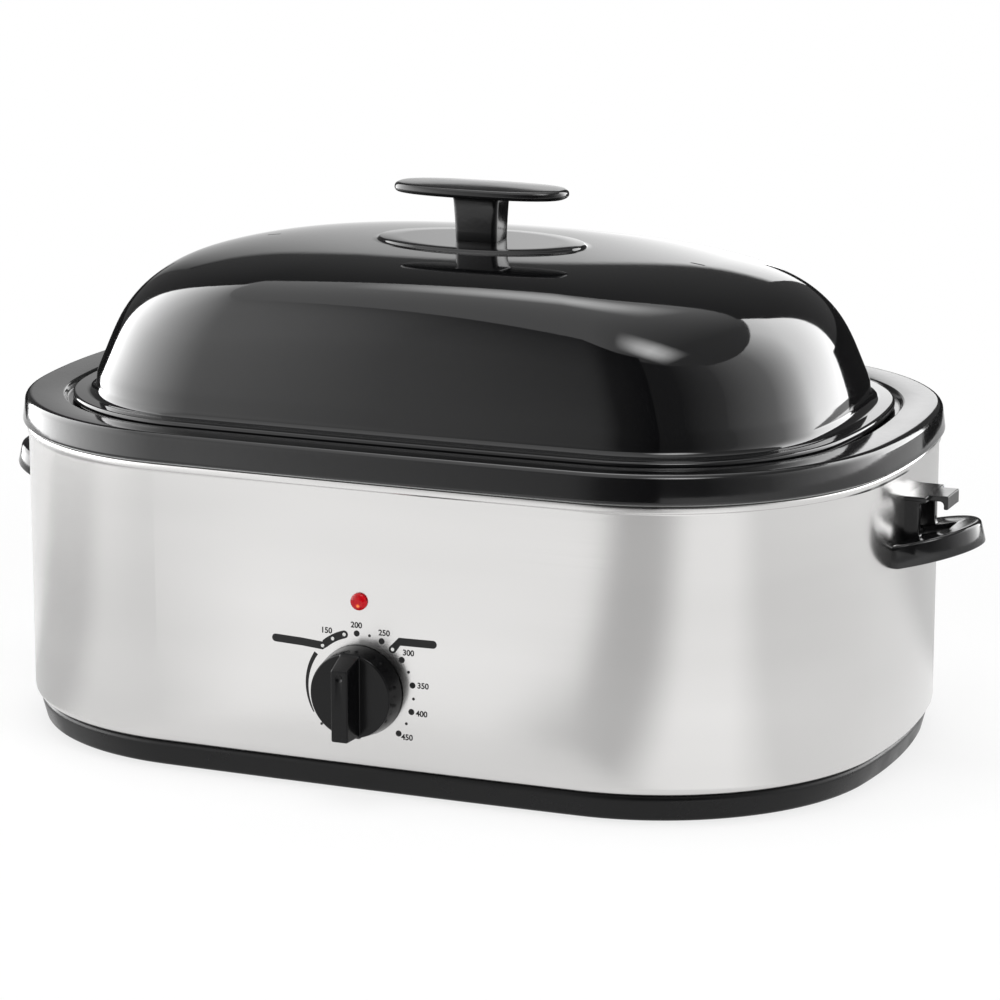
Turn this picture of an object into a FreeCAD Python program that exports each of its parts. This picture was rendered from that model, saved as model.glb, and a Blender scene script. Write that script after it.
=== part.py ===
import FreeCAD, Part
import math
import os

from FreeCAD import Rotation, Vector

# Electric roaster oven: a stainless wrapped body with a heated well, a lift-out pan, a wire rack and a
# lift-off domed lid.  Millimetres, +Z up, +X along the long side, the controls on the -Y side.
# Every horizontal section of the body is one outline of eight tangent arcs; "off" is a distance outwards
# from the outside of the wrap, so pieces that nest share the outline at different offsets.

# --- plan outline of the body, outside of the wrap
BODY_HALF_LENGTH = 270.0
BODY_HALF_WIDTH = 179.0
SIDE_ARC_R = 6600.0
END_ARC_R = 406.0
CORNER_ARC_R = 141.0

# --- heights above the surface the oven stands on
FOOT_STAND = 2.0            # underside of the base skirt
SKIRT_HEIGHT = 15.6
WRAP_HEIGHT = 166.4         # from the top of the skirt to the top of the wrap

# --- base skirt, moulded
SKIRT_WALL = 2.5
SKIRT_BOTTOM_OFF = -6.7
SKIRT_TOP_OFF = -2.7
SKIRT_LIP = 17.3            # width of the bottom lip that carries the bottom plate
SKIRT_LEDGE = 13.3          # width of the top ledge under the wrap
SKIRT_EDGE_R = 3.0

# --- bottom plate, sheet steel
PLATE_T = 1.0
PLATE_INSET = 1.3           # gap from the plate to the ledge it drops past
VENT_SLOT_LENGTH = 46.0
VENT_SLOT_WIDTH = 5.0
VENT_SLOT_PITCH = 15.0
VENT_SLOTS_PER_ROW = 7
VENT_ROW_INSET = 94.0        # from the end of the body to the middle of the outer rows

# --- rubber feet
FOOT_R = 12.0
FOOT_FILLET = 1.0
FOOT_INSET_X = 70.0          # from the end and the side of the body to a foot
FOOT_INSET_Y = 75.0
FOOT_STEM_R = 4.0
FOOT_HEAD_R = 6.0
FOOT_HEAD_T = 2.5
FOOT_CLEAR = 0.1

# --- outer wrap, stainless sheet
WRAP_T = 0.8
WRAP_HEEL_R = 5.5
WRAP_HEEL_LIP = 11.0
WRAP_TOP_LIP = 12.0
BEAD_PROUD = 1.2
BEAD_HEIGHT = 3.6
BEAD_R = 1.3

# --- heating well, deep drawn aluminised steel
WELL_T = 0.8
WELL_WALL_OFF = -31.2       # outside of the well's wall
WELL_FLANGE_EDGE_OFF = 0.6
WELL_SHOULDER_R = 6.0
WELL_FLOOR_Z = 36.0         # inside of the well's floor
WELL_CORNER_R = 30.0

# --- brackets that tie the well to the bottom plate
BRACKET_INSET = 150.0        # from the end of the body to the middle of a bracket
BRACKET_SIDE_INSET = 94.0    # from the side of the body to the end of a bracket
BRACKET_WIDTH = 34.0
BRACKET_FOOT = 14.0
BRACKET_T = 1.2
BRACKET_SCREW_INSET = 23.0   # from the end of a bracket to its screws
BRACKET_SCREW_R = 2.0
BRACKET_SCREW_HEAD_R = 4.0
BRACKET_SCREW_HEAD_T = 1.8
BRACKET_SCREW_TAIL = 6.0
SCREW_CLEAR = 0.1

# --- heater band round the well
HEATER_T = 2.2
HEATER_LOW_Z = 66.0
HEATER_HEIGHT = 56.0
HEATER_GAP = 74.0           # open stretch at the front, between the band's two ends
HEATER_TAG_WIDTH = 9.0
HEATER_TAG_T = 1.0
HEATER_TAG_DROP = 16.0
HEATER_TAG_Z = 72.0

# --- insulation blanket between heater and wrap
BLANKET_LOW_Z = 58.0
BLANKET_HEIGHT = 108.0
BLANKET_OUTER_OFF = -8.0
BLANKET_WINDOW = 108.0      # width left open behind the controls

# --- control knob and thermostat
KNOB_Z = 63.6
KNOB_PANEL_GAP = 0.7
KNOB_SKIRT_R = 26.4
KNOB_FACE_R = 24.4
KNOB_DISC_DEPTH = 13.5
KNOB_BACK_WALL = 3.0
KNOB_RIM_WALL = 3.0
KNOB_INNER_R = 1.0
KNOB_RIM_R = 0.6
KNOB_HUB_R = 7.0
KNOB_HUB_GAP = 0.8
KNOB_BAR_WIDTH = 10.0
KNOB_BAR_PROUD = 14.5
KNOB_BAR_UP = 18.5
KNOB_BAR_DOWN = 23.3
KNOB_BAR_EDGE = 0.9
KNOB_MARK_R = 1.1
KNOB_MARK_DEPTH = 0.6
KNOB_MARK_DROP = 4.0
SHAFT_R = 3.0
SHAFT_FLAT = 1.6            # distance from the shaft's axis to its flat
SHAFT_FIT = 0.05
SHAFT_END_GAP = 0.2
SHAFT_INTO_KNOB = 13.0
SHAFT_INTO_BODY = 6.0
CLIP_T = 0.5
CLIP_LENGTH = 9.0
CLIP_WIDTH = 3.4
BUSH_R = 5.0
BUSH_FIT = 0.2
BUSH_PROUD = 3.2
NUT_FLAT = 13.0
NUT_T = 2.2
THERMO_WIDTH = 40.0
THERMO_HEIGHT = 32.0
THERMO_DEPTH = 15.0
THERMO_GAP = 0.1
THERMO_EDGE = 2.0
THERMO_TAG_WIDTH = 6.3
THERMO_TAG_T = 0.8
THERMO_TAG_LENGTH = 9.0

# --- sensing bulb of the thermostat, clipped under the well
BULB_R = 3.0
BULB_LENGTH = 72.0
BULB_INSET = 109.0           # from the front of the body
CAPILLARY_R = 1.0
CAPILLARY_X = 12.0
CAPILLARY_BEND = 8.0
CAPILLARY_LOW_Z = 26.0
CAPILLARY_LOOP = 22.0
BULB_CLIP_T = 0.8
BULB_CLIP_WIDTH = 14.0
BULB_CLIP_FOOT = 8.0

# --- pilot lamp
LAMP_Z = 115.4
LENS_R = 5.0
LENS_PROUD = 3.2
LENS_EDGE = 0.9
LAMP_BARREL_R = 4.2
LAMP_BARREL_LENGTH = 17.0
LAMP_HOLE_CLEAR = 0.15
LAMP_COLLAR_R = 7.0
LAMP_COLLAR_T = 2.0
NEON_R = 2.6
LENS_BORE_GAP = 0.4
NEON_LENGTH = 14.0
NEON_TIP_SHARE = 0.6         # rounding of the tip and the sealed end, as shares of the radius
NEON_SEAL_SHARE = 0.3

# --- supply: gland in the back of the wrap and the block that the supply ends in
GLAND_Z = 42.0
GLAND_BORE_R = 3.9
GLAND_THROAT_R = 4.6
GLAND_THROAT_END = 1.5       # how far outside the wrap the wide throat goes before the bore
GLAND_BARREL_R = 6.5
GLAND_FLANGE_R = 9.5
GLAND_COLLAR_R = 8.0
GLAND_FLANGE_T = 3.0
GLAND_NOSE_R = 6.2
GLAND_EDGE_R = 0.8
GLAND_REACH = 9.0
GLAND_NECK = 0.15
GLAND_INNER = 6.0
BLOCK_LENGTH = 36.0
BLOCK_DEPTH = 18.0
BLOCK_HEIGHT = 15.0
BLOCK_INSET = 67.0           # from the back of the body to the middle of the block
BLOCK_WAYS = 3
BLOCK_WAY_R = 2.4
BLOCK_SCREW_R = 1.7
LEAD_R = 1.3
LEAD_BEND = 7.0
LEAD_GRIP = 6.0
LEAD_CROSS_Z = 42.0

# --- side handles with a lid rest
HANDLE_HALF_WIDTH = 38.0
HANDLE_REACH = 41.0
HANDLE_HEIGHT = 13.5
HANDLE_WALL = 3.5
HANDLE_TOP_T = 3.5
HANDLE_BELOW_RIM = 50.5      # from the top of the wrap to the middle of the shelf at its root
HANDLE_RISE_DEG = 14.0
HANDLE_EDGE_R = 2.6
HANDLE_SLOT_HALF = 11.0
HANDLE_SLOT_OUT = 25.0
HANDLE_SLOT_IN = 1.5
HANDLE_ROOT_BURY = 6.0      # how far the handle is drawn into the wrap before it is trimmed to it
REST_POST_Y = 16.5
REST_POST_T = 5.0
REST_POST_DEPTH = 8.0
REST_BELOW_RIM = 18.4
REST_ROOF_T = 3.4
REST_ROOF_HALF = 19.0
REST_ROOF_REACH = 12.0
REST_TONGUE_HALF = 11.5
REST_TONGUE_REACH = 23.0
REST_LIP = 8.0
REST_LIP_T = 2.6
HANDLE_BOSS_R = 5.5
HANDLE_BOSS_LENGTH = 15.0
HANDLE_SCREW_Y = 25.0
HANDLE_SCREW_R = 2.0
HANDLE_SCREW_LENGTH = 14.0
HANDLE_SCREW_HEAD_R = 3.8
HANDLE_SCREW_HEAD_T = 2.4
BACKING_HALF_WIDTH = 34.0
BACKING_HEIGHT = 18.0
BACKING_T = 1.5
BACKING_GAP = 0.4           # the plate bears on the burrs of its holes, its face just clear of the wrap

# --- roasting pan, enamelled steel
PAN_T = 1.2
PAN_HEM = 7.0
PAN_SKIRT_OFF = 3.6
PAN_TOP_OFF = 1.4
PAN_TOP_Z = 202.0
PAN_INNER_TOP_Z = 200.8
PAN_EDGE_R = 4.5
PAN_HEM_R = 1.7
PAN_STEP_OFF = -21.5
PAN_STEP_RUN = 2.0
PAN_SEAT_Z = 196.9
PAN_LIP_OFF = -38.0
PAN_STEP_R = 1.6
PAN_LIP_R = 5.0
PAN_FLOOR_Z = 48.0
PAN_FLOOR_OFF = -42.0
PAN_CORNER_R = 28.0
SEAT_GAP = 0.1

# --- wire rack
RACK_RIM_R = 2.5
RACK_RIM_OFF = -76.0
RACK_STAND = 14.0
RACK_WIRE_R = 1.6
RACK_WIRE_PITCH = 25.0
RACK_END_SPACE = 14.0       # least space between the last cross wire and the end of the rim
RACK_LEG_INSET = 74.0       # from the end of the rim to a leg
RACK_GRIP_HALF = 42.0
RACK_GRIP_HEIGHT = 78.0
RACK_GRIP_BEND = 14.0
RACK_GRIP_R = 2.1
RACK_LEG_R = 2.1

# --- lid, enamelled steel
# wall stations: (inset from the end of the body, inset from its side, height above the seat, roundness
# from 0, the body's outline, to 1, an ellipse)
LID_T = 1.2
LID_BEAD_OFF = -26.6
LID_BEAD_HEIGHT = 5.2
LID_BEAD_R = 2.1
LID_HEM = 5.0
LID_CORNER_OFF = -40.2
LID_CORNER_R = 6.0
LID_WALL_OFF = -41.6
LID_WALL_HEIGHT = 16.5
LID_STATIONS = (
    (45.5, 45.0, 30.0, 0.08),
    (55.0, 49.5, 53.0, 0.20),
    (71.5, 56.5, 71.5, 0.38),
    (102.0, 70.0, 84.5, 0.60),
    (151.0, 102.0, 92.6, 0.85),
)
LID_TOP_HALF_LENGTH = 66.0
LID_TOP_HALF_WIDTH = 40.0
LID_TOP_HEIGHT = 94.9
LID_STEP_HEIGHT = 1.8
LID_STEP_INSET = 2.0
LID_VENT_X = 136.0
LID_VENT_LENGTH = 9.0
LID_VENT_WIDTH = 1.8
LID_VENT_DEPTH = 20.0
SPANS_PER_ARC = 4

# --- lid handle, moulded
GRIP_HALF_LENGTH = 55.8
GRIP_HALF_WIDTH = 23.0
GRIP_EDGE_T = 4.4
GRIP_CROWN = 2.4
GRIP_CROWN_SHARE = 0.5
GRIP_CROWN_R = 40.0
GRIP_LOWER_R = 1.4
GRIP_UPPER_R = 2.2
STEM_HEIGHT = 26.8          # from the lid to the underside of the grip
STEM_TOP_HALF_X = 15.5
STEM_TOP_HALF_Y = 12.5
STEM_FOOT_HALF_X = 13.8
STEM_FOOT_HALF_Y = 11.5
STEM_CORNER_R = 6.0
LID_SCREW_R = 2.5
LID_SCREW_GRIP = 16.0
LID_SCREW_HEAD_R = 5.0
LID_SCREW_HEAD_T = 3.0
LID_WASHER_R = 11.0
LID_WASHER_T = 1.5

# --- places worked out from the sizes above
FRONT_Y = -BODY_HALF_WIDTH
BACK_Y = BODY_HALF_WIDTH
SKIRT_TOP_Z = FOOT_STAND + SKIRT_HEIGHT
WRAP_TOP_Z = SKIRT_TOP_Z + WRAP_HEIGHT
PLATE_Z = FOOT_STAND + SKIRT_WALL
WELL_RIM_Z = WRAP_TOP_Z + WELL_T
WELL_UNDER_Z = WELL_FLOOR_Z - WELL_T
PAN_REST_Z = WELL_RIM_Z + SEAT_GAP
LID_REST_Z = PAN_SEAT_Z + SEAT_GAP
LID_CROWN_Z = LID_REST_Z + LID_TOP_HEIGHT + LID_STEP_HEIGHT
GRIP_UNDER_Z = LID_CROWN_Z + STEM_HEIGHT
KNOB_REACH = KNOB_PANEL_GAP + KNOB_DISC_DEPTH + KNOB_BAR_PROUD
FOOT_X = BODY_HALF_LENGTH - FOOT_INSET_X
FOOT_Y = BODY_HALF_WIDTH - FOOT_INSET_Y
VENT_ROW_X = BODY_HALF_LENGTH - VENT_ROW_INSET
BRACKET_X = BODY_HALF_LENGTH - BRACKET_INSET
BRACKET_LENGTH = 2.0 * (BODY_HALF_WIDTH - BRACKET_SIDE_INSET)
BRACKET_SCREW_Y = BRACKET_LENGTH / 2.0 - BRACKET_SCREW_INSET
BULB_Y = BULB_INSET - BODY_HALF_WIDTH
BLOCK_Y = BODY_HALF_WIDTH - BLOCK_INSET
HANDLE_ROOT_Z = WRAP_TOP_Z - HANDLE_BELOW_RIM
REST_ROOF_Z = WRAP_TOP_Z - REST_BELOW_RIM
CENTRING_Y = (KNOB_REACH - GLAND_REACH) / 2.0   # puts the origin under the middle of the whole object

FULL_TURN = 360.0
OVERLAP = 1.0                # how far a shape is drawn into its neighbour before they are joined or cut
NEARLY_ALONG = 0.9           # least cosine between an edge and an axis it counts as lying along
SLOT_ROUND = 0.98            # share of a slot's half width that its ends are rounded to
AXIS_X = Vector(1, 0, 0)
AXIS_Y = Vector(0, 1, 0)
AXIS_Z = Vector(0, 0, 1)


# ---------------------------------------------------------------- outlines and sheet profiles

def plan_arcs():
    """The eight tangent arcs of the body outline: (centre x, centre y, radius, start angle, end angle)."""
    side_y = SIDE_ARC_R - BODY_HALF_WIDTH
    end_x = BODY_HALF_LENGTH - END_ARC_R
    to_side = SIDE_ARC_R - CORNER_ARC_R
    to_end = END_ARC_R - CORNER_ARC_R
    span = math.hypot(end_x, side_y)
    along = (to_side ** 2 - to_end ** 2 + span ** 2) / (2.0 * span)
    across = math.sqrt(to_side ** 2 - along ** 2)
    ux = end_x / span
    uy = -side_y / span
    cx = along * ux - across * uy
    cy = side_y + along * uy + across * ux
    if cx < 0.0:
        cx = along * ux + across * uy
        cy = side_y + along * uy - across * ux
    side = math.atan2(cy - side_y, cx)
    end = math.atan2(cy, cx - end_x)
    pi = math.pi
    return (
        (0.0, side_y, SIDE_ARC_R, -pi - side, side),
        (cx, cy, CORNER_ARC_R, side, end),
        (end_x, 0.0, END_ARC_R, end, -end),
        (cx, -cy, CORNER_ARC_R, -end, -side),
        (0.0, -side_y, SIDE_ARC_R, -side, pi + side),
        (-cx, -cy, CORNER_ARC_R, pi + side, pi + end),
        (-end_x, 0.0, END_ARC_R, pi + end, pi - end),
        (-cx, cy, CORNER_ARC_R, pi - end, pi - side),
    )


def plan_wire(off, z):
    """The body outline moved outwards by off, at height z."""
    edges = []
    for cx, cy, radius, start, stop in plan_arcs():
        r = radius + off
        points = []
        for angle in (start, (start + stop) / 2.0, stop):
            points.append(Vector(cx + r * math.cos(angle), cy + r * math.sin(angle), z))
        edges.append(Part.Arc(*points).toShape())
    return Part.Wire(edges)


def plan_prism(off, z, height):
    return Part.Face(plan_wire(off, z)).extrude(Vector(0, 0, height))


def plan_ring(outer_off, inner_off, z, height):
    return plan_prism(outer_off, z, height).cut(plan_prism(inner_off, z, height))


def path_edges(points):
    """A path in the XZ plane through (x, z, corner radius) points, each corner rounded by an arc."""
    edges = []
    last = Vector(points[0][0], 0, points[0][1])
    for i in range(1, len(points) - 1):
        here = Vector(points[i][0], 0, points[i][1])
        back = Vector(points[i - 1][0], 0, points[i - 1][1]) - here
        on = Vector(points[i + 1][0], 0, points[i + 1][1]) - here
        back.normalize()
        on.normalize()
        radius = points[i][2]
        if radius <= 0.0:
            edges.append(Part.makeLine(last, here))
            last = here
            continue
        half = back.getAngle(on) / 2.0
        reach = radius / math.tan(half)
        start = here + back * reach
        stop = here + on * reach
        middle = back + on
        middle.normalize()
        top = here + middle * (radius / math.sin(half) - radius)
        if (start - last).Length > 1e-6:
            edges.append(Part.makeLine(last, start))
        edges.append(Part.Arc(start, top, stop).toShape())
        last = stop
    edges.append(Part.makeLine(last, Vector(points[-1][0], 0, points[-1][1])))
    return edges


def shifted_path(points, thickness):
    """The same path moved to its left by the sheet thickness, with its corner radii to match."""
    moved = []
    count = len(points)
    for i in range(count):
        x, z = points[i][0], points[i][1]
        before = points[max(i - 1, 0)]
        after = points[min(i + 1, count - 1)]
        in_x, in_z = x - before[0], z - before[1]
        out_x, out_z = after[0] - x, after[1] - z
        if i == 0:
            in_x, in_z = out_x, out_z
        if i == count - 1:
            out_x, out_z = in_x, in_z
        in_len = math.hypot(in_x, in_z)
        out_len = math.hypot(out_x, out_z)
        n1 = (-in_z / in_len, in_x / in_len)
        n2 = (-out_z / out_len, out_x / out_len)
        scale = thickness / (1.0 + n1[0] * n2[0] + n1[1] * n2[1])
        turn = in_x * out_z - in_z * out_x
        radius = points[i][2]
        if radius > 0.0:
            radius = radius - thickness if turn > 0.0 else radius + thickness
        moved.append((x + (n1[0] + n2[0]) * scale, z + (n1[1] + n2[1]) * scale, radius))
    return moved


def sheet_profile(points, thickness):
    """Closed profile of a sheet whose one side is the path and whose body lies on the path's left."""
    inner = shifted_path(points, thickness)
    first, last = points[0], points[-1]
    inner_first, inner_last = inner[0], inner[-1]
    edges = path_edges(points) + path_edges(inner)
    edges.append(Part.makeLine(Vector(first[0], 0, first[1]), Vector(inner_first[0], 0, inner_first[1])))
    edges.append(Part.makeLine(Vector(last[0], 0, last[1]), Vector(inner_last[0], 0, inner_last[1])))
    return Part.Wire(Part.__sortEdges__(edges))


def closed_profile(points):
    """Closed profile through (x, z, corner radius) points; the first point keeps a sharp corner."""
    return Part.Wire(Part.__sortEdges__(path_edges(list(points) + [points[0]])))


def swept_faces(profile):
    """Carries a profile, drawn at (off, z), round the body outline: each arc turns it about its centre."""
    faces = []
    for cx, cy, radius, start, stop in plan_arcs():
        section = profile.copy()
        section.translate(Vector(radius, 0, 0))
        section.rotate(Vector(0, 0, 0), AXIS_Z, math.degrees(start))
        section.translate(Vector(cx, cy, 0))
        faces.extend(section.revolve(Vector(cx, cy, 0), AXIS_Z, math.degrees(stop - start)).Faces)
    return faces


def sewn(faces):
    """The solid that a set of faces encloses."""
    shell = Part.makeShell(faces)
    shell.sewShape()
    solid = Part.makeSolid(shell)
    if solid.Volume < 0.0:
        solid.reverse()
    return solid


def swept(profile):
    return sewn(swept_faces(profile))


def turned(points, place, axis):
    """A round piece: a closed (radius, height) profile turned about +Z, then stood at place along axis."""
    solid = Part.Face(closed_profile(points)).revolve(Vector(0, 0, 0), AXIS_Z, FULL_TURN)
    solid.rotate(Vector(0, 0, 0), *turn_from_z(axis))
    solid.translate(place)
    return solid


def turn_from_z(axis):
    rotation = Rotation(AXIS_Z, axis)
    return rotation.Axis, math.degrees(rotation.Angle)


def rod(radius, length, place, axis):
    return Part.makeCylinder(radius, length, place, axis)


def block(x0, x1, y0, y1, z0, z1):
    return Part.makeBox(x1 - x0, y1 - y0, z1 - z0, Vector(x0, y0, z0))


def slab(half_x, half_y, corner_r, z, height):
    """A flat block with rounded upright corners, centred on the origin."""
    body = block(-half_x, half_x, -half_y, half_y, z, z + height)
    upright = [edge for edge in body.Edges if abs(edge.tangentAt(edge.FirstParameter).z) > NEARLY_ALONG]
    return body.makeFillet(corner_r, upright)


def wire_run(points, radius, bend):
    """A round wire through the points, straight runs joined by tangent arcs of one bend radius."""
    edges = []
    last = points[0]
    for i in range(1, len(points) - 1):
        here = points[i]
        back = points[i - 1] - here
        on = points[i + 1] - here
        back.normalize()
        on.normalize()
        half = back.getAngle(on) / 2.0
        reach = bend / math.tan(half)
        middle = back + on
        middle.normalize()
        start = here + back * reach
        stop = here + on * reach
        top = here + middle * (bend / math.sin(half) - bend)
        edges.append(Part.makeLine(last, start))
        edges.append(Part.Arc(start, top, stop).toShape())
        last = stop
    edges.append(Part.makeLine(last, points[-1]))
    spine = Part.Wire(edges)
    heading = points[1] - points[0]
    section = Part.Wire([Part.makeCircle(radius, points[0], heading)])
    return spine.makePipeShell([section], True, False)


def fused(pieces):
    return pieces[0].multiFuse(pieces[1:]).removeSplitter()


def mirrored_x(shape):
    return shape.mirror(Vector(0, 0, 0), AXIS_X)


# ---------------------------------------------------------------- base

def base_skirt():
    """Moulded ring of C section: a lip below for the bottom plate and a ledge above for the wrap."""
    path = [
        (SKIRT_BOTTOM_OFF - SKIRT_LIP, FOOT_STAND, 0.0),
        (SKIRT_BOTTOM_OFF, FOOT_STAND, SKIRT_EDGE_R),
        (SKIRT_TOP_OFF, SKIRT_TOP_Z, SKIRT_EDGE_R),
        (SKIRT_TOP_OFF - SKIRT_LEDGE, SKIRT_TOP_Z, 0.0),
    ]
    return swept(sheet_profile(path, SKIRT_WALL))


def foot_places():
    return [(x, y) for x in (-FOOT_X, FOOT_X) for y in (-FOOT_Y, FOOT_Y)]


def bracket_screw_places():
    """Each bracket is screwed down twice, through the middle of its outer foot."""
    out = BRACKET_X + BRACKET_WIDTH / 2.0 + BRACKET_FOOT / 2.0
    return [(x, y) for x in (-out, out) for y in (-BRACKET_SCREW_Y, BRACKET_SCREW_Y)]


def bottom_plate():
    """Sheet that closes the underside, with vent slots, foot holes and screw holes."""
    edge_off = SKIRT_TOP_OFF - SKIRT_LEDGE - PLATE_INSET
    plate = plan_prism(edge_off, PLATE_Z, PLATE_T)
    cuts = []
    half = VENT_SLOT_LENGTH / 2.0
    for row_x in (-VENT_ROW_X, 0.0, VENT_ROW_X):
        for i in range(VENT_SLOTS_PER_ROW):
            y = (i - (VENT_SLOTS_PER_ROW - 1) / 2.0) * VENT_SLOT_PITCH
            w = VENT_SLOT_WIDTH / 2.0
            slot = slab(half, w, w * SLOT_ROUND, PLATE_Z - PLATE_T, 3.0 * PLATE_T)
            slot.translate(Vector(row_x, y, 0))
            cuts.append(slot)
    for x, y in foot_places():
        hole_r = FOOT_STEM_R + FOOT_CLEAR
        cuts.append(rod(hole_r, 3.0 * PLATE_T, Vector(x, y, PLATE_Z - PLATE_T), AXIS_Z))
    for x, y in bracket_screw_places():
        hole_r = BRACKET_SCREW_R + SCREW_CLEAR
        cuts.append(rod(hole_r, 3.0 * PLATE_T, Vector(x, y, PLATE_Z - PLATE_T), AXIS_Z))
    return plate.cut(cuts)


def feet():
    """Four rubber feet, each pushed through the bottom plate and held by its own head."""
    head_z = PLATE_Z + PLATE_T
    profile = [
        (0.0, 0.0, 0.0),
        (FOOT_R, 0.0, FOOT_FILLET),
        (FOOT_R, PLATE_Z, FOOT_FILLET),
        (FOOT_STEM_R, PLATE_Z, 0.0),
        (FOOT_STEM_R, head_z, 0.0),
        (FOOT_HEAD_R, head_z, 0.0),
        (FOOT_STEM_R, head_z + FOOT_HEAD_T, 0.0),
        (0.0, head_z + FOOT_HEAD_T, 0.0),
    ]
    return [turned(profile, Vector(x, y, 0), AXIS_Z) for x, y in foot_places()]


# ---------------------------------------------------------------- outer wrap

def handle_screw_z():
    """The screws enter the handle's root at the middle of its shelf."""
    return HANDLE_ROOT_Z


def outer_wrap():
    """Stainless band: rolled heel on the skirt, straight wall, rolled bead and a turned-in top lip."""
    bead_low = WRAP_TOP_Z - BEAD_HEIGHT
    path = [
        (-WRAP_HEEL_LIP, SKIRT_TOP_Z, 0.0),
        (0.0, SKIRT_TOP_Z, WRAP_HEEL_R),
        (0.0, bead_low - BEAD_PROUD, 2.0 * WRAP_T),
        (BEAD_PROUD, bead_low, BEAD_R),
        (BEAD_PROUD, WRAP_TOP_Z, BEAD_R),
        (-WRAP_TOP_LIP, WRAP_TOP_Z, 0.0),
    ]
    wrap = swept(sheet_profile(path, WRAP_T))
    through = 8.0 * WRAP_T
    inside = Vector(0, FRONT_Y + through / 2.0, 0)
    cuts = [
        rod(BUSH_R + BUSH_FIT, through, inside + Vector(0, 0, KNOB_Z), -AXIS_Y),
        rod(LAMP_BARREL_R + LAMP_HOLE_CLEAR, through, inside + Vector(0, 0, LAMP_Z), -AXIS_Y),
        rod(GLAND_BARREL_R + GLAND_NECK, through, Vector(0, BACK_Y - through / 2.0, GLAND_Z), AXIS_Y),
    ]
    for side in (-1.0, 1.0):
        for y in (-HANDLE_SCREW_Y, HANDLE_SCREW_Y):
            start = Vector(side * (BODY_HALF_LENGTH - through), y, handle_screw_z())
            cuts.append(rod(HANDLE_SCREW_R + SCREW_CLEAR, 2.0 * through, start, AXIS_X * side))
    return wrap.cut(cuts)


# ---------------------------------------------------------------- heating well and what hangs on it

def heating_well():
    """Deep drawn tub: its flange lies on the wrap's top lip, its wall and floor hold the hot air."""
    inner_off = WELL_WALL_OFF - WELL_T
    floor_off = inner_off - WELL_CORNER_R
    path = [
        (WELL_FLANGE_EDGE_OFF, WELL_RIM_Z, 0.0),
        (inner_off, WELL_RIM_Z, WELL_SHOULDER_R),
        (inner_off, WELL_FLOOR_Z, WELL_CORNER_R),
        (floor_off - OVERLAP, WELL_FLOOR_Z, 0.0),
    ]
    wall = swept(sheet_profile(path, WELL_T))
    floor = plan_prism(floor_off - OVERLAP, WELL_UNDER_Z, WELL_T)
    return fused([wall, floor])


def well_brackets():
    """Two hat-section brackets, spot welded under the well and screwed to the bottom plate."""
    low = PLATE_Z + PLATE_T
    half = BRACKET_WIDTH / 2.0
    foot = half + BRACKET_FOOT
    path = [
        (foot, low + BRACKET_T, 0.0),
        (half, low + BRACKET_T, BRACKET_T),
        (half, WELL_UNDER_Z, 2.0 * BRACKET_T),
        (-half, WELL_UNDER_Z, 2.0 * BRACKET_T),
        (-half, low + BRACKET_T, BRACKET_T),
        (-foot, low + BRACKET_T, 0.0),
    ]
    hat = Part.Face(sheet_profile(path, BRACKET_T)).extrude(Vector(0, BRACKET_LENGTH, 0))
    hat.translate(Vector(0, -BRACKET_LENGTH / 2.0, 0))
    holes = []
    for x, y in bracket_screw_places():
        start = Vector(x, y, low - BRACKET_T)
        holes.append(rod(BRACKET_SCREW_R + SCREW_CLEAR, 3.0 * BRACKET_T, start, AXIS_Z))
    pair = []
    for side in (-1.0, 1.0):
        bracket = hat.copy()
        bracket.translate(Vector(side * BRACKET_X, 0, 0))
        pair.append(bracket.cut(holes))
    return pair


def bracket_screws():
    """Pan-head screws from below, through the bottom plate into the brackets' feet."""
    profile = [
        (0.0, -BRACKET_SCREW_HEAD_T, 0.0),
        (BRACKET_SCREW_HEAD_R, -BRACKET_SCREW_HEAD_T, BRACKET_SCREW_HEAD_T / 2.0),
        (BRACKET_SCREW_HEAD_R, 0.0, 0.0),
        (BRACKET_SCREW_R, 0.0, 0.0),
        (BRACKET_SCREW_R, BRACKET_SCREW_TAIL, 0.0),
        (0.0, BRACKET_SCREW_TAIL, 0.0),
    ]
    return [turned(profile, Vector(x, y, PLATE_Z), AXIS_Z) for x, y in bracket_screw_places()]


def heater_outer_off():
    return WELL_WALL_OFF + HEATER_T


def heater_band():
    """Flat element wrapped round the well's wall, its two ends apart behind the controls."""
    band = plan_ring(heater_outer_off(), WELL_WALL_OFF, HEATER_LOW_Z, HEATER_HEIGHT)
    half = HEATER_GAP / 2.0
    top = HEATER_LOW_Z + HEATER_HEIGHT
    return band.cut(block(-half, half, FRONT_Y, 0.0, HEATER_LOW_Z - OVERLAP, top + OVERLAP))


def heater_tag_x():
    return HEATER_GAP / 2.0 + HEATER_TAG_WIDTH / 2.0


def heater_tags():
    """The element's two flat terminals, hanging below its ends."""
    face_y = FRONT_Y - heater_outer_off()
    half = HEATER_TAG_WIDTH / 2.0
    tags = []
    for side in (-1.0, 1.0):
        x = side * heater_tag_x()
        low = HEATER_LOW_Z - HEATER_TAG_DROP
        tags.append(block(x - half, x + half, face_y - HEATER_TAG_T, face_y, low, HEATER_TAG_Z))
    return tags


def insulation_blanket():
    """Glass-fibre blanket round the heater, open behind the controls."""
    ring = plan_ring(BLANKET_OUTER_OFF, heater_outer_off(), BLANKET_LOW_Z, BLANKET_HEIGHT)
    half = BLANKET_WINDOW / 2.0
    top = BLANKET_LOW_Z + BLANKET_HEIGHT
    return ring.cut(block(-half, half, FRONT_Y, 0.0, BLANKET_LOW_Z - OVERLAP, top + OVERLAP))


# ---------------------------------------------------------------- thermostat, knob and pilot lamp

def thermostat_front_y():
    return FRONT_Y + WRAP_T + THERMO_GAP


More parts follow.
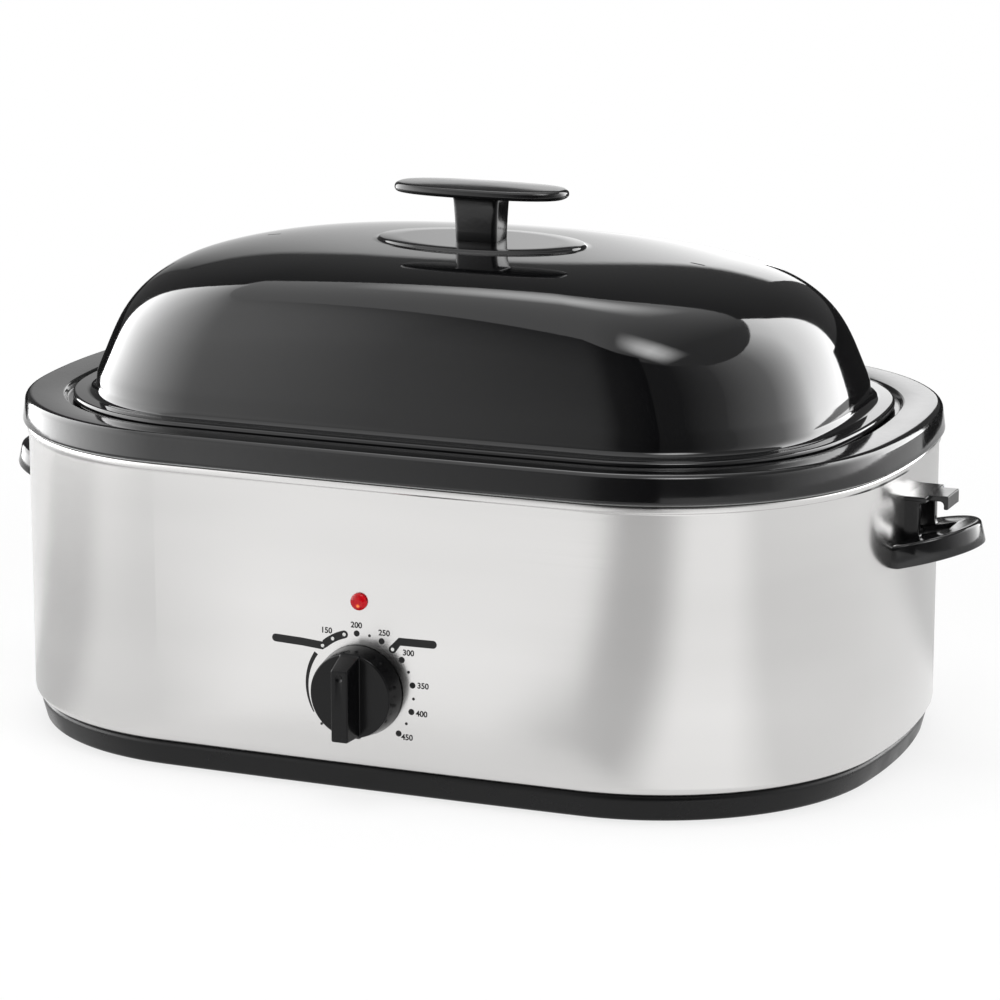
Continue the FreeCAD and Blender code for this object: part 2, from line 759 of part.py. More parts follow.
def thermostat_back_y():
    return thermostat_front_y() + THERMO_DEPTH


def thermostat_tag_xs():
    return (-THERMO_WIDTH / 4.0, THERMO_WIDTH / 4.0)


def thermostat_body():
    """Moulded case with a blind bore for the control shaft and two flat terminals at the back."""
    half_w = THERMO_WIDTH / 2.0
    half_h = THERMO_HEIGHT / 2.0
    front = thermostat_front_y()
    back = thermostat_back_y()
    case = block(-half_w, half_w, front, back, KNOB_Z - half_h, KNOB_Z + half_h)
    along = [edge for edge in case.Edges if abs(edge.tangentAt(edge.FirstParameter).y) > NEARLY_ALONG]
    case = case.makeFillet(THERMO_EDGE, along)
    pieces = [case]
    for x in thermostat_tag_xs():
        w = THERMO_TAG_WIDTH / 2.0
        t = THERMO_TAG_T / 2.0
        pieces.append(block(x - w, x + w, back - OVERLAP, back + THERMO_TAG_LENGTH, KNOB_Z - t, KNOB_Z + t))
    bore = rod(SHAFT_R + SHAFT_FIT, SHAFT_INTO_BODY, Vector(0, front + SHAFT_INTO_BODY, KNOB_Z), -AXIS_Y)
    return fused(pieces).cut(bore)


def thermostat_bush():
    """Brass bush on the front of the thermostat, standing out through the wrap."""
    front = thermostat_front_y()
    length = front - (FRONT_Y - BUSH_PROUD)
    outer = rod(BUSH_R, length, Vector(0, front, KNOB_Z), -AXIS_Y)
    return outer.cut(rod(SHAFT_R + SHAFT_FIT, length, Vector(0, front, KNOB_Z), -AXIS_Y))


def thermostat_nut():
    """Thin hexagon nut that clamps the thermostat to the wrap, hidden by the knob."""
    across_corners = NUT_FLAT / math.cos(math.pi / 6.0)
    points = []
    for i in range(7):
        angle = i * math.pi / 3.0
        x = across_corners / 2.0 * math.cos(angle)
        points.append(Vector(x, FRONT_Y, KNOB_Z + across_corners / 2.0 * math.sin(angle)))
    prism = Part.Face(Part.makePolygon(points)).extrude(Vector(0, -NUT_T, 0))
    return prism.cut(rod(BUSH_R, 2.0 * NUT_T, Vector(0, FRONT_Y + NUT_T / 2.0, KNOB_Z), -AXIS_Y))


def knob_back_y():
    return FRONT_Y - KNOB_PANEL_GAP


def thermostat_shaft():
    """Control shaft: round in the bush, with a flat along the end that carries the knob."""
    start = thermostat_front_y() + SHAFT_INTO_BODY - SHAFT_END_GAP
    end = knob_back_y() - SHAFT_INTO_KNOB
    shaft = rod(SHAFT_R, start - end, Vector(0, start, KNOB_Z), -AXIS_Y)
    flat_from = FRONT_Y - BUSH_PROUD - SHAFT_END_GAP
    flat = block(-SHAFT_R, SHAFT_R, end - OVERLAP, flat_from, KNOB_Z + SHAFT_FLAT, KNOB_Z + 2.0 * SHAFT_R)
    return shaft.cut(flat)


def knob_spring_clip():
    """Leaf of spring steel between the shaft's flat and the knob's bore."""
    half = CLIP_WIDTH / 2.0
    low = KNOB_Z + SHAFT_FLAT
    front = knob_back_y() - SHAFT_INTO_KNOB
    return block(-half, half, front, front + CLIP_LENGTH, low, low + CLIP_T)


def control_knob():
    """Moulded knob: hollow conical skirt, bored hub and a raised grip bar that points to the setting."""
    hub_back = BUSH_PROUD - KNOB_PANEL_GAP + KNOB_HUB_GAP
    ceiling = KNOB_DISC_DEPTH - KNOB_BACK_WALL
    profile = [
        (0.0, hub_back, 0.0),
        (KNOB_HUB_R, hub_back, 0.0),
        (KNOB_HUB_R, ceiling, KNOB_INNER_R),
        (KNOB_SKIRT_R - KNOB_RIM_WALL, ceiling, KNOB_INNER_R),
        (KNOB_SKIRT_R - KNOB_RIM_WALL, 0.0, 0.0),
        (KNOB_SKIRT_R, 0.0, KNOB_RIM_R),
        (KNOB_FACE_R, KNOB_DISC_DEPTH, KNOB_BAR_EDGE),
        (0.0, KNOB_DISC_DEPTH, 0.0),
    ]
    back = Vector(0, knob_back_y(), KNOB_Z)
    disc = turned(profile, back, -AXIS_Y)
    half = KNOB_BAR_WIDTH / 2.0
    face = KNOB_DISC_DEPTH
    front = KNOB_DISC_DEPTH + KNOB_BAR_PROUD
    side = [
        (face - OVERLAP, -KNOB_BAR_DOWN),
        (front, -KNOB_BAR_DOWN),
        (front, KNOB_BAR_UP),
        (face, KNOB_FACE_R - KNOB_BAR_EDGE),
        (face - OVERLAP, KNOB_FACE_R - KNOB_BAR_EDGE),
        (face - OVERLAP, -KNOB_BAR_DOWN),
    ]
    corners = [Vector(-half, back.y - out, KNOB_Z + up) for out, up in side]
    bar = Part.Face(Part.makePolygon(corners)).extrude(Vector(KNOB_BAR_WIDTH, 0, 0))
    rounded = []
    for edge in bar.Edges:
        if edge.CenterOfMass.y < back.y - face - OVERLAP:
            rounded.append(edge)
    bar = bar.makeFillet(KNOB_BAR_EDGE, rounded)
    knob = disc.fuse(bar)
    bore_depth = SHAFT_INTO_KNOB + SHAFT_END_GAP
    bore = rod(SHAFT_R + SHAFT_FIT, bore_depth, back, -AXIS_Y)
    flat_z = KNOB_Z + SHAFT_FLAT + CLIP_T + SHAFT_FIT
    bore_from = back.y - bore_depth - OVERLAP
    bore = bore.cut(block(-half, half, bore_from, back.y + OVERLAP, flat_z, flat_z + half))
    mark_at = Vector(0, back.y - front + KNOB_MARK_DEPTH, KNOB_Z + KNOB_BAR_UP - KNOB_MARK_DROP)
    return knob.cut([bore, rod(KNOB_MARK_R, 2.0 * KNOB_MARK_DEPTH, mark_at, -AXIS_Y)])


def capillary_bulb():
    """Copper sensing bulb against the well's floor and the fine tube that joins it to the thermostat."""
    bulb_z = WELL_UNDER_Z - BULB_R
    half = BULB_LENGTH / 2.0
    bulb = rod(BULB_R, BULB_LENGTH, Vector(-half, BULB_Y, bulb_z), AXIS_X)
    tube_y = (thermostat_front_y() + thermostat_back_y()) / 2.0
    loop_x = half + CAPILLARY_LOOP
    route = [
        Vector(CAPILLARY_X, tube_y, KNOB_Z - THERMO_HEIGHT / 2.0),
        Vector(CAPILLARY_X, tube_y, CAPILLARY_LOW_Z),
        Vector(loop_x, (tube_y + BULB_Y) / 2.0, CAPILLARY_LOW_Z),
        Vector(loop_x, BULB_Y, bulb_z),
        Vector(half - OVERLAP, BULB_Y, bulb_z),
    ]
    return fused([bulb, wire_run(route, CAPILLARY_R, CAPILLARY_BEND)])


def bulb_clip():
    """Spring strip, spot welded under the well, that presses the bulb against the floor."""
    bulb_z = WELL_UNDER_Z - BULB_R
    half = BULB_CLIP_WIDTH / 2.0
    outer_r = BULB_R + BULB_CLIP_T
    foot = outer_r + BULB_CLIP_FOOT
    hoop = rod(outer_r, BULB_CLIP_WIDTH, Vector(-half, BULB_Y, bulb_z), AXIS_X)
    sides = block(-half, half, BULB_Y - outer_r, BULB_Y + outer_r, bulb_z, WELL_UNDER_Z)
    feet_z = WELL_UNDER_Z - BULB_CLIP_T
    strip = block(-half, half, BULB_Y - foot, BULB_Y + foot, feet_z, WELL_UNDER_Z)
    solid = fused([hoop, sides, strip])
    inside = rod(BULB_R, BULB_CLIP_WIDTH, Vector(-half, BULB_Y, bulb_z), AXIS_X)
    mouth = block(-half, half, BULB_Y - BULB_R, BULB_Y + BULB_R, bulb_z, WELL_UNDER_Z + OVERLAP)
    above = block(-half, half, BULB_Y - foot, BULB_Y + foot, WELL_UNDER_Z, WELL_UNDER_Z + outer_r)
    return solid.cut([inside, mouth, above])


def pilot_lamp_lens():
    """Red moulded lens: a low dome on the panel and a hollow barrel through it."""
    wall_r = NEON_R + LENS_BORE_GAP
    profile = [
        (wall_r, -LAMP_BARREL_LENGTH, 0.0),
        (LAMP_BARREL_R, -LAMP_BARREL_LENGTH, 0.0),
        (LAMP_BARREL_R, 0.0, 0.0),
        (LENS_R, 0.0, 0.0),
        (LENS_R, LENS_PROUD, LENS_PROUD - LENS_EDGE),
        (0.0, LENS_PROUD, 0.0),
        (0.0, 0.0, 0.0),
        (wall_r, 0.0, 0.0),
    ]
    return turned(profile, Vector(0, FRONT_Y, LAMP_Z), -AXIS_Y)


def pilot_lamp_collar():
    """Push-on collar that holds the lens from inside the wrap."""
    start = Vector(0, FRONT_Y + WRAP_T, LAMP_Z)
    ring = rod(LAMP_COLLAR_R, LAMP_COLLAR_T, start, AXIS_Y)
    return ring.cut(rod(LAMP_BARREL_R, LAMP_COLLAR_T, start, AXIS_Y))


def neon_lamp():
    """Glass neon capsule in the lens barrel."""
    profile = [
        (0.0, 0.0, 0.0),
        (NEON_R, 0.0, NEON_R * NEON_TIP_SHARE),
        (NEON_R, NEON_LENGTH, NEON_R * NEON_SEAL_SHARE),
        (0.0, NEON_LENGTH, 0.0),
    ]
    return turned(profile, Vector(0, FRONT_Y + LENS_BORE_GAP, LAMP_Z), AXIS_Y)


# ---------------------------------------------------------------- supply side

def cord_gland():
    """Moulded bush for the supply cord: flange and nose outside the wrap, snap collar inside."""
    collar = WRAP_T + GLAND_INNER
    profile = [
        (GLAND_THROAT_R, -collar, 0.0),
        (GLAND_BARREL_R, -collar, 0.0),
        (GLAND_COLLAR_R, -collar / 2.0, 0.0),
        (GLAND_COLLAR_R, -WRAP_T, 0.0),
        (GLAND_BARREL_R, -WRAP_T, 0.0),
        (GLAND_BARREL_R, 0.0, 0.0),
        (GLAND_FLANGE_R, 0.0, 0.0),
        (GLAND_FLANGE_R, GLAND_FLANGE_T, GLAND_EDGE_R),
        (GLAND_NOSE_R, GLAND_FLANGE_T, GLAND_EDGE_R),
        (GLAND_NOSE_R, GLAND_REACH, GLAND_EDGE_R),
        (GLAND_BORE_R, GLAND_REACH, 0.0),
        (GLAND_BORE_R, GLAND_THROAT_END, 0.0),
        (GLAND_THROAT_R, GLAND_THROAT_END, 0.0),
    ]
    return turned(profile, Vector(0, BACK_Y, GLAND_Z), AXIS_Y)


def block_way_xs():
    return [(i - (BLOCK_WAYS - 1) / 2.0) * BLOCK_LENGTH / BLOCK_WAYS for i in range(BLOCK_WAYS)]


def wire_z():
    return PLATE_Z + PLATE_T + BLOCK_HEIGHT / 2.0


def terminal_block():
    """Moulded block on the bottom plate with a bored way and a clamp screw hole for each conductor."""
    low = PLATE_Z + PLATE_T
    half = BLOCK_LENGTH / 2.0
    front = BLOCK_Y - BLOCK_DEPTH / 2.0
    body = block(-half, half, front, front + BLOCK_DEPTH, low, low + BLOCK_HEIGHT)
    cuts = []
    for x in block_way_xs():
        cuts.append(rod(BLOCK_WAY_R, BLOCK_DEPTH, Vector(x, front, wire_z()), AXIS_Y))
        cuts.append(rod(BLOCK_SCREW_R, BLOCK_HEIGHT, Vector(x, BLOCK_Y, wire_z()), AXIS_Z))
    return body.cut(cuts)


def lead_wires():
    """Three sheathed leads: block to thermostat, thermostat to heater, heater back to block."""
    front = BLOCK_Y - BLOCK_DEPTH / 2.0
    low = wire_z()
    left, right = thermostat_tag_xs()
    tag_y = thermostat_back_y() + THERMO_TAG_LENGTH - 2.0 * LEAD_R
    tag_z = KNOB_Z - THERMO_TAG_T / 2.0
    heater_x = heater_tag_x()
    heater_y = FRONT_Y - heater_outer_off() - HEATER_TAG_T / 2.0
    heater_z = HEATER_LOW_Z - HEATER_TAG_DROP
    ways = block_way_xs()
    live = [
        Vector(ways[0], front + LEAD_GRIP, low),
        Vector(ways[0], front - 4.0 * LEAD_BEND, low),
        Vector(left, tag_y, low),
        Vector(left, tag_y, tag_z),
    ]
    cross = [
        Vector(right, tag_y, tag_z),
        Vector(right, tag_y, LEAD_CROSS_Z),
        Vector(heater_x, heater_y, LEAD_CROSS_Z),
        Vector(heater_x, heater_y, heater_z),
    ]
    back = [
        Vector(-heater_x, heater_y, heater_z),
        Vector(-heater_x, heater_y, low),
        Vector(-heater_x, 0.0, low),
        Vector(ways[1], front - 2.0 * LEAD_BEND, low),
        Vector(ways[1], front + LEAD_GRIP, low),
    ]
    return [wire_run(route, LEAD_R, LEAD_BEND) for route in (live, cross, back)]


# ---------------------------------------------------------------- side handles

def end_x(off, y):
    """Where the end of the body, moved outwards by off, lies at a distance y from the middle."""
    return BODY_HALF_LENGTH - END_ARC_R + math.sqrt((END_ARC_R + off) ** 2 - y ** 2)


def outline_reach(x, off):
    """Half the width of the body outline, moved outwards by off, at a distance x from the middle."""
    for cx, cy, radius, start, stop in plan_arcs()[:3]:
        r = radius + off
        over = abs(x) - cx
        if abs(over) > r:
            continue
        y = cy - math.sqrt(r ** 2 - over ** 2)
        if start <= math.atan2(y - cy, over) <= stop:
            return abs(y)
    return 0.0


def oval_prism(half_x, half_y, centre, height):
    if half_x >= half_y:
        ellipse = Part.Ellipse(centre, half_x, half_y)
        face = Part.Face(Part.Wire([ellipse.toShape()]))
    else:
        ellipse = Part.Ellipse(Vector(0, 0, 0), half_y, half_x)
        edge = ellipse.toShape()
        edge.rotate(Vector(0, 0, 0), AXIS_Z, FULL_TURN / 4.0)
        edge.translate(centre)
        face = Part.Face(Part.Wire([edge]))
    return face.extrude(Vector(0, 0, height))


def side_handle():
    """Moulded carrying handle for the +X end: a hollow D-shaped shelf under a bracket for the lid."""
    root = BODY_HALF_LENGTH - HANDLE_ROOT_BURY
    low = -HANDLE_HEIGHT / 2.0
    reach = HANDLE_REACH + HANDLE_ROOT_BURY
    shelf = oval_prism(reach, HANDLE_HALF_WIDTH, Vector(root, 0, low), HANDLE_HEIGHT)
    rim = [edge for edge in shelf.Edges if edge.BoundBox.ZMin > -low - 0.1]
    shelf = shelf.makeFillet(HANDLE_EDGE_R, rim)
    hollow = oval_prism(reach - HANDLE_WALL, HANDLE_HALF_WIDTH - HANDLE_WALL, Vector(root, 0, low - OVERLAP),
                        HANDLE_HEIGHT - HANDLE_TOP_T + OVERLAP)
    slot = block(BODY_HALF_LENGTH + HANDLE_SLOT_IN, BODY_HALF_LENGTH + HANDLE_SLOT_OUT, -HANDLE_SLOT_HALF,
                 HANDLE_SLOT_HALF, -HANDLE_HEIGHT, HANDLE_HEIGHT)
    shelf = shelf.cut([hollow, slot])
    shelf.rotate(Vector(BODY_HALF_LENGTH, 0, 0), AXIS_Y, -HANDLE_RISE_DEG)
    shelf.translate(Vector(0, 0, HANDLE_ROOT_Z))
    pieces = [shelf]
    for side in (-1.0, 1.0):
        boss_at = Vector(root, side * HANDLE_SCREW_Y, handle_screw_z())
        pieces.append(rod(HANDLE_BOSS_R, HANDLE_BOSS_LENGTH + HANDLE_ROOT_BURY, boss_at, AXIS_X))
        y0 = side * REST_POST_Y - REST_POST_T / 2.0
        post_x = BODY_HALF_LENGTH + REST_POST_DEPTH
        pieces.append(block(root, post_x, y0, y0 + REST_POST_T, HANDLE_ROOT_Z, REST_ROOF_Z - OVERLAP))
    roof_low = REST_ROOF_Z - REST_ROOF_T
    roof_x = BODY_HALF_LENGTH + REST_ROOF_REACH
    tip_x = BODY_HALF_LENGTH + REST_TONGUE_REACH
    pieces.append(block(root, roof_x, -REST_ROOF_HALF, REST_ROOF_HALF, roof_low, REST_ROOF_Z))
    pieces.append(block(root, tip_x, -REST_TONGUE_HALF, REST_TONGUE_HALF, roof_low, REST_ROOF_Z))
    pieces.append(block(tip_x - REST_LIP_T, tip_x, -REST_TONGUE_HALF, REST_TONGUE_HALF,
                        REST_ROOF_Z - REST_LIP, REST_ROOF_Z))
    handle = fused(pieces)
    cuts = [plan_prism(0.0, HANDLE_ROOT_Z - HANDLE_HALF_WIDTH, 2.0 * HANDLE_HALF_WIDTH)]
    for y in (-HANDLE_SCREW_Y, HANDLE_SCREW_Y):
        hole_at = Vector(root, y, handle_screw_z())
        cuts.append(rod(HANDLE_SCREW_R + SHAFT_FIT, HANDLE_ROOT_BURY + HANDLE_SCREW_LENGTH, hole_at, AXIS_X))
    return handle.cut(cuts)


def handle_backing_plates():
    """Curved steel plates inside the wrap that spread the pull of the handles' screws."""
    low = handle_screw_z() - BACKING_HEIGHT / 2.0
    outer = -WRAP_T - BACKING_GAP
    ring = plan_ring(outer, outer - BACKING_T, low, BACKING_HEIGHT)
    half = BACKING_HALF_WIDTH
    window = block(0.0, 2.0 * BODY_HALF_LENGTH, -half, half, low, low + BACKING_HEIGHT)
    plate = ring.common(window)
    holes = []
    for y in (-HANDLE_SCREW_Y, HANDLE_SCREW_Y):
        start = Vector(BODY_HALF_LENGTH - HANDLE_HALF_WIDTH, y, handle_screw_z())
        holes.append(rod(HANDLE_SCREW_R + SCREW_CLEAR, 2.0 * HANDLE_HALF_WIDTH, start, AXIS_X))
    plate = solid_of(plate.cut(holes))
    return [plate, mirrored_x(plate)]


def handle_screws():
    """Pan-head screws from inside, through backing plate and wrap into the handles' bosses."""
    screws = []
    for side in (-1.0, 1.0):
        for y in (-HANDLE_SCREW_Y, HANDLE_SCREW_Y):
            seat = end_x(-WRAP_T - BACKING_GAP - BACKING_T, abs(y) + HANDLE_SCREW_HEAD_R)
            profile = [
                (0.0, -HANDLE_SCREW_HEAD_T, 0.0),
                (HANDLE_SCREW_HEAD_R, -HANDLE_SCREW_HEAD_T, HANDLE_SCREW_HEAD_T / 2.0),
                (HANDLE_SCREW_HEAD_R, 0.0, 0.0),
                (HANDLE_SCREW_R, 0.0, 0.0),
                (HANDLE_SCREW_R, HANDLE_SCREW_LENGTH, 0.0),
                (0.0, HANDLE_SCREW_LENGTH, 0.0),
            ]
            screws.append(turned(profile, Vector(side * seat, y, handle_screw_z()), AXIS_X * side))
    return screws


# ---------------------------------------------------------------- roasting pan and rack

def roasting_pan():
    """Lift-out pan: hemmed skirt, broad rim, a recess that seats the lid, drawn wall and floor."""
    path = [
        (PAN_SKIRT_OFF - PAN_HEM, PAN_REST_Z, 0.0),
        (PAN_SKIRT_OFF, PAN_REST_Z, PAN_HEM_R),
        (PAN_TOP_OFF, PAN_TOP_Z, PAN_EDGE_R),
        (PAN_STEP_OFF, PAN_INNER_TOP_Z, PAN_STEP_R),
        (PAN_STEP_OFF - PAN_STEP_RUN, PAN_SEAT_Z, PAN_STEP_R),
        (PAN_LIP_OFF, PAN_SEAT_Z, PAN_LIP_R),
        (PAN_FLOOR_OFF, PAN_FLOOR_Z, PAN_CORNER_R),
        (PAN_FLOOR_OFF - PAN_CORNER_R - OVERLAP, PAN_FLOOR_Z, 0.0),
    ]
    wall = swept(sheet_profile(path, PAN_T))
    floor = plan_prism(PAN_FLOOR_OFF - PAN_CORNER_R - OVERLAP, PAN_FLOOR_Z - PAN_T, PAN_T)
    return fused([wall, floor])


def rack_rim_z():
    return PAN_FLOOR_Z + SEAT_GAP + RACK_STAND


def rack_rim():
    """Oval rim of the rack, one bent wire."""
    return swept(Part.Wire([Part.makeCircle(RACK_RIM_R, Vector(RACK_RIM_OFF, 0, rack_rim_z()), AXIS_Y)]))


def rack_cross_wires():
    """Straight wires welded across the rim, each ending on it."""
    rim = rack_rim()
    half_length = BODY_HALF_LENGTH + RACK_RIM_OFF
    count = int((half_length - RACK_END_SPACE) / RACK_WIRE_PITCH)
    wires = []
    for i in range(-count, count + 1):
        x = i * RACK_WIRE_PITCH
        reach = outline_reach(x, RACK_RIM_OFF)
        wires.append(rod(RACK_WIRE_R, 2.0 * reach, Vector(x, -reach, rack_rim_z()), AXIS_Y).cut(rim))
    return wires


def rack_legs():
    """Four short legs welded under the rim."""
    rim = rack_rim()
    floor = PAN_FLOOR_Z + SEAT_GAP
    leg_x = BODY_HALF_LENGTH + RACK_RIM_OFF - RACK_LEG_INSET
    legs = []
    for x in (-leg_x, leg_x):
        for side in (-1.0, 1.0):
            foot = Vector(x, side * outline_reach(leg_x, RACK_RIM_OFF), floor)
            legs.append(rod(RACK_LEG_R, RACK_STAND, foot, AXIS_Z).cut(rim))
    return legs


def rack_loops():
    """A lifting loop at each end, bent from wire and welded upright on the rim."""
    rim = rack_rim()
    low = rack_rim_z()
    top = low + RACK_GRIP_HEIGHT
    loops = []
    for side in (-1.0, 1.0):
        x = side * end_x(RACK_RIM_OFF, RACK_GRIP_HALF)
        route = [
            Vector(x, -RACK_GRIP_HALF, low),
            Vector(x, -RACK_GRIP_HALF, top),
            Vector(x, RACK_GRIP_HALF, top),
            Vector(x, RACK_GRIP_HALF, low),
        ]
        loops.append(wire_run(route, RACK_GRIP_R, RACK_GRIP_BEND).cut(rim))
    return loops


# ---------------------------------------------------------------- lid

def lid_point(arc, angle, station):
    """A point of a lid outline: the body outline scaled to the station and drawn towards an ellipse."""
    inset_x, inset_y, height, roundness = station
    cx, cy, radius = arc[0], arc[1], arc[2] + LID_WALL_OFF
    u = (cx + radius * math.cos(angle)) / (BODY_HALF_LENGTH + LID_WALL_OFF)
    v = (cy + radius * math.sin(angle)) / (BODY_HALF_WIDTH + LID_WALL_OFF)
    pull = 1.0 - roundness + roundness / math.hypot(u, v)
    half_x = BODY_HALF_LENGTH - inset_x
    half_y = BODY_HALF_WIDTH - inset_y
    return Vector(half_x * u * pull, half_y * v * pull, LID_REST_Z + height)


def lid_outline(station):
    """Closed outline of one station, one smooth curve for each arc of the body outline."""
    edges = []
    for arc in plan_arcs():
        start, stop = arc[3], arc[4]
        step = (stop - start) / SPANS_PER_ARC
        points = [lid_point(arc, start + i * step, station) for i in range(SPANS_PER_ARC + 1)]
        small = step / 1000.0
        first = (lid_point(arc, start + small, station) - lid_point(arc, start - small, station))
        last = (lid_point(arc, stop + small, station) - lid_point(arc, stop - small, station))
        curve = Part.BSplineCurve()
        curve.interpolate(Points=points, InitialTangent=first.normalize(), FinalTangent=last.normalize())
        edges.append(curve.toShape())
    return Part.Wire(edges)


def inner_stations(stations):
    """The stations moved inwards by the sheet thickness, square to the wall."""
    moved = []
    last = len(stations) - 1
    for i in range(len(stations)):
        before = stations[max(i - 1, 0)]
        after = stations[min(i + 1, last)]
        rise = after[2] - before[2]
        lean_x = math.atan2(after[0] - before[0], rise)
        lean_y = math.atan2(after[1] - before[1], rise)
        inset_x = stations[i][0] + LID_T * math.cos(lean_x)
        inset_y = stations[i][1] + LID_T * math.cos(lean_y)
        drop = LID_T * (math.sin(lean_x) + math.sin(lean_y)) / 2.0
        moved.append((inset_x, inset_y, stations[i][2] - drop, stations[i][3]))
    return moved


def lid_skin(foot_wire, stations):
    """One skin of the lid from its foot up over the wall, the oval step and the flat crown."""
    wires = [lid_outline(station) for station in stations]
    wall = Part.makeLoft([foot_wire] + wires, False, False, False)
    inset_x, inset_y, height, roundness = stations[-1]
    step_station = (inset_x + LID_STEP_INSET, inset_y + LID_STEP_INSET, height + LID_STEP_HEIGHT, roundness)
    top = lid_outline(step_station)
    step = Part.makeLoft([wires[-1], top], False, True, False)
    return wall.Faces + step.Faces + [Part.Face(top)]


def lid_shell():
    """Pressed lid: hemmed bead, narrow flange, domed wall and crown, oval step, two steam vents."""
    bead_z = LID_REST_Z + LID_BEAD_HEIGHT
    path = [
        (LID_BEAD_OFF - LID_HEM, LID_REST_Z, 0.0),
        (LID_BEAD_OFF, LID_REST_Z, LID_BEAD_R),
        (LID_BEAD_OFF, bead_z, LID_BEAD_R),
        (LID_CORNER_OFF, bead_z, LID_CORNER_R),
        (LID_WALL_OFF, LID_REST_Z + LID_WALL_HEIGHT, 0.0),
    ]
    inner_path = shifted_path(path, LID_T)
    hem_end = [Vector(x, 0, z) for x, z, corner in (path[0], inner_path[0])]
    edges = path_edges(path) + path_edges(inner_path) + [Part.makeLine(*hem_end)]
    faces = []
    for edge in edges:
        faces.extend(swept_faces(edge))
    top_insets = (BODY_HALF_LENGTH - LID_TOP_HALF_LENGTH, BODY_HALF_WIDTH - LID_TOP_HALF_WIDTH)
    stations = list(LID_STATIONS) + [top_insets + (LID_TOP_HEIGHT, 1.0)]
    foot = (-LID_WALL_OFF, -LID_WALL_OFF, LID_WALL_HEIGHT, 0.0)
    inside = inner_stations([foot] + stations)[1:]
    faces.extend(lid_skin(plan_wire(path[-1][0], path[-1][1]), stations))
    faces.extend(lid_skin(plan_wire(inner_path[-1][0], inner_path[-1][1]), inside))
    shell = sewn(faces)
    screw_from = Vector(0, 0, LID_CROWN_Z - LID_VENT_DEPTH)
    cuts = [rod(LID_SCREW_R + SCREW_CLEAR, 2.0 * LID_VENT_DEPTH, screw_from, AXIS_Z)]
    for side in (-1.0, 1.0):
        vent = slab(LID_VENT_LENGTH / 2.0, LID_VENT_WIDTH / 2.0, LID_VENT_WIDTH / 2.0 * SLOT_ROUND,
                    LID_CROWN_Z - LID_VENT_DEPTH, 2.0 * LID_VENT_DEPTH)
        vent.translate(Vector(side * LID_VENT_X, 0, 0))
        cuts.append(vent)
    return shell.cut(cuts)


def rounded_wire(half_x, half_y, corner_r, z):
    outline = slab(half_x, half_y, corner_r, z, 1.0)
    return min(outline.Faces, key=lambda face: face.CenterOfMass.z).OuterWire


def lid_handle():
    """Moulded handle: a slightly crowned oval grip on a short tapered stem, bored for its screw."""
    profile = [
        (0.0, 0.0, 0.0),
        (GRIP_HALF_WIDTH, 0.0, GRIP_LOWER_R),
        (GRIP_HALF_WIDTH, GRIP_EDGE_T, GRIP_UPPER_R),
        (GRIP_HALF_WIDTH * GRIP_CROWN_SHARE, GRIP_EDGE_T + GRIP_CROWN, GRIP_CROWN_R),
        (0.0, GRIP_EDGE_T + GRIP_CROWN, 0.0),
    ]
    grip = turned(profile, Vector(0, 0, 0), AXIS_Z)
    stretch = FreeCAD.Matrix()
    stretch.scale(GRIP_HALF_LENGTH / GRIP_HALF_WIDTH, 1.0, 1.0)
    grip = grip.transformGeometry(stretch)
    grip.translate(Vector(0, 0, GRIP_UNDER_Z))
    foot = rounded_wire(STEM_FOOT_HALF_X, STEM_FOOT_HALF_Y, STEM_CORNER_R, LID_CROWN_Z)
    top = rounded_wire(STEM_TOP_HALF_X, STEM_TOP_HALF_Y, STEM_CORNER_R, GRIP_UNDER_Z + GRIP_LOWER_R)
    stem = Part.makeLoft([foot, top], True, True, False)
    bore = rod(LID_SCREW_R + SHAFT_FIT, LID_SCREW_GRIP, Vector(0, 0, LID_CROWN_Z), AXIS_Z)
    return grip.fuse(stem).cut(bore)


def lid_sheet_under_z():
    return LID_CROWN_Z - LID_T


def lid_washer():
    """Broad washer under the lid that spreads the handle screw's pull."""
    low = Vector(0, 0, lid_sheet_under_z() - LID_WASHER_T)
    disc = rod(LID_WASHER_R, LID_WASHER_T, low, AXIS_Z)
    return disc.cut(rod(LID_SCREW_R + SCREW_CLEAR, LID_WASHER_T, low, AXIS_Z))


def lid_screw():
    """Pan-head screw from inside the lid up into the handle's stem."""
    seat = lid_sheet_under_z() - LID_WASHER_T
    tail = LID_CROWN_Z + LID_SCREW_GRIP - SHAFT_END_GAP - seat
    profile = [
        (0.0, -LID_SCREW_HEAD_T, 0.0),
        (LID_SCREW_HEAD_R, -LID_SCREW_HEAD_T, LID_SCREW_HEAD_T / 2.0),
        (LID_SCREW_HEAD_R, 0.0, 0.0),
        (LID_SCREW_R, 0.0, 0.0),
        (LID_SCREW_R, tail, 0.0),
        (0.0, tail, 0.0),
    ]
    return turned(profile, Vector(0, 0, seat), AXIS_Z)


# ---------------------------------------------------------------- the whole object, one file for each node

def solid_of(shape):
    """A boolean result that holds one solid, as that solid."""
    return shape.Solids[0] if len(shape.Solids) == 1 else shape


def export(name, shapes):
    os.makedirs("parts", exist_ok=True)
    pieces = shapes if isinstance(shapes, list) else [shapes]
    solids = [solid for piece in pieces for solid in piece.Solids]
    whole = solids[0] if len(solids) == 1 else Part.makeCompound(solids)
    placed = whole.copy()
    placed.translate(Vector(0, CENTRING_Y, 0))
    placed.exportStep("parts/" + name + ".step")
    valid = all(solid.isValid() for solid in solids)
    volume = round(sum(solid.Volume for solid in solids) / 1000.0, 2)
    print(name, len(solids), "solid(s)", volume, "cm3", "valid" if valid else "NOT VALID")


